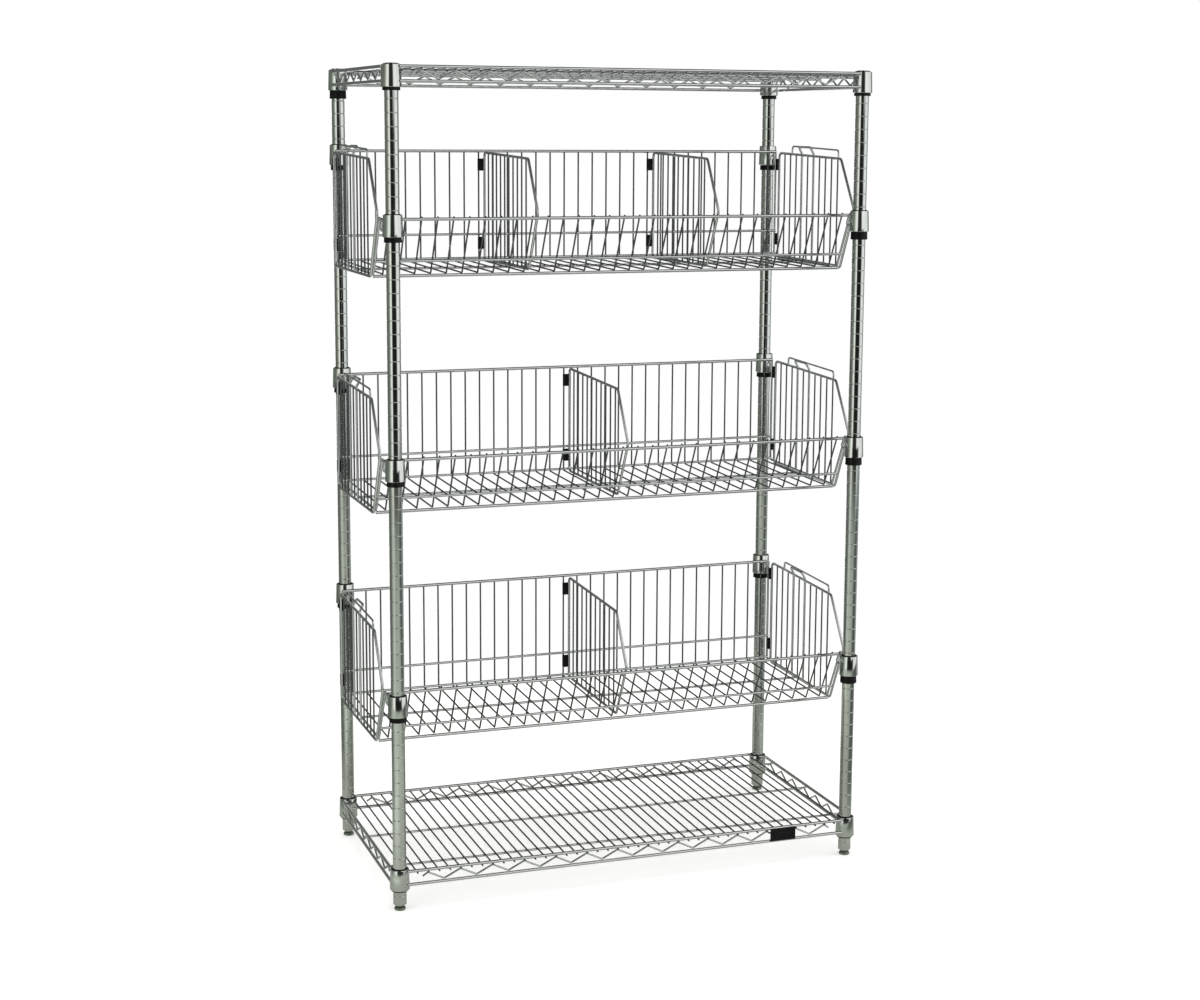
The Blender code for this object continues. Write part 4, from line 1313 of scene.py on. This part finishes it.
print("dividers at", [round(divider_x + step.x, 4) for step in divider_steps.values()])

# %% [markdown]
# Small black clips hold the back of each panel and divider to a wire of the basket. A clip is a block
# that is cut in two with Bisect, and one side of its front is pulled out as a leg that lies beside the
# upright. A Bevel modifier takes the moulded edges off.

# %% Making a clip
MOULDED_EDGE = 0.4 * MILLIMETRE
CLIP_HEIGHT = 25.0 * MILLIMETRE
CLIP_GAP = 0.2 * MILLIMETRE
CLIP_SIDE = 3.0 * MILLIMETRE
LEG_REACH = 2.6 * MILLIMETRE
LEG_STEPS = ((1.1, 0.0), (0.3, -0.8))


def make_block(low, high):
    """A plain block between two corners, to be shaped further."""
    clear_selection()
    bpy.ops.mesh.primitive_cube_add(size=1.0, location=(low + high) / 2)
    bpy.ops.transform.resize(value=high - low)
    settle()
    return bpy.context.object


def soften_edges(block):
    """Take the edges off a block with a Bevel modifier, applied."""
    bpy.ops.object.modifier_add(type="BEVEL")
    bevel = block.modifiers[-1]
    bevel.width = MOULDED_EDGE
    bevel.segments = 2
    bevel.limit_method = "ANGLE"
    bpy.ops.object.modifier_apply(modifier=bevel.name)


def make_clip(wire_x, held_x, held_y, back_y, middle_z):
    """A clip behind an upright that it holds, with one leg beside it and a web back to a basket wire."""
    inner = PANEL_FRAME / 2 + CLIP_GAP
    leg_right = held_x - inner
    web_front = held_y + inner
    low = Vector((wire_x - CLIP_SIDE, web_front, middle_z - CLIP_HEIGHT / 2))
    high = Vector((held_x + inner, back_y, middle_z + CLIP_HEIGHT / 2))
    clip = make_block(low, high)
    edit_all()
    bpy.ops.mesh.bisect(plane_co=(leg_right, 0.0, 0.0), plane_no=(1.0, 0.0, 0.0))
    leave_edit()
    select_faces(clip, lambda face: face.normal.y < -FACING and face.center.x < leg_right)
    push((0.0, held_y - LEG_REACH - web_front, 0.0))
    step_in(LEG_STEPS)
    soften_edges(clip)
    return clip


clip_middles = {}
for place in ("upper", "lower"):
    clip_middles[place] = node_middle(f"lower_basket_divider_{place}_clip").z


def clip_steps(steps):
    """Steps from an upper clip to the upper and lower clip at each of some named steps."""
    both = {}
    for name, step in steps.items():
        for place, middle_z in clip_middles.items():
            both[name, place] = step + Vector((0.0, 0.0, middle_z - clip_middles["upper"]))
    return both


print("clips of the lower basket at", [round(z, 4) for z in clip_middles.values()])

# %% Clips
# A divider stands this far beside the basket wire that its clips hold.
DIVIDER_STEP = 10 * MILLIMETRE
END_CLIP_SINK = 0.4 * MILLIMETRE

clip_back = BACK_Y - BASKET_WIRE / 2
upper_z = clip_middles["upper"]
divider_clip = make_clip(divider_x - DIVIDER_STEP, divider_x, divider_back, clip_back, upper_z)
for (divider_node, place), clip in copies_of(divider_clip, clip_steps(divider_steps)):
    node = f"{divider_node}_{place}_clip"
    dress(clip, f"{node}_body", DIVIDERS[divider_node], black_nylon, [node])
end_clip_back = BACK_Y - END_WIRE / 2 + END_CLIP_SINK
end_clip = make_clip(END_X + RAIL_OVERHANG, PANEL_X, PANEL_BACK_Y, end_clip_back, upper_z)
end_clip_steps = clip_steps(basket_steps)
for side, master in (("left", mirror(end_clip)), ("right", end_clip)):
    for (name, place), clip in copies_of(master, end_clip_steps):
        dress(clip, f"{name}_{side}_end_{place}_clip", name, black_nylon)
print("divider clips", 2 * len(divider_steps), "and end panel clips", 2 * len(end_clip_steps))

# %% [markdown]
# The label plate on the bottom shelf is bare. It is a thin block with bevelled edges whose front is
# inset and sunk a little, so that a narrow rim stands round the empty face.

# %% Label plate
RIM_STEPS = ((1.4, 0.0), (0.3, -0.5))

plate_low, plate_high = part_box("label_plate")
label_plate = make_block(plate_low, plate_high)
select_faces(label_plate, lambda face: face.normal.y < -FACING)
step_in(RIM_STEPS)
soften_edges(label_plate)
dress(label_plate, "label_plate_blank", "frame", black_plate, ["label_plate"])
print("label plate", [round(v, 4) for v in plate_high - plate_low])
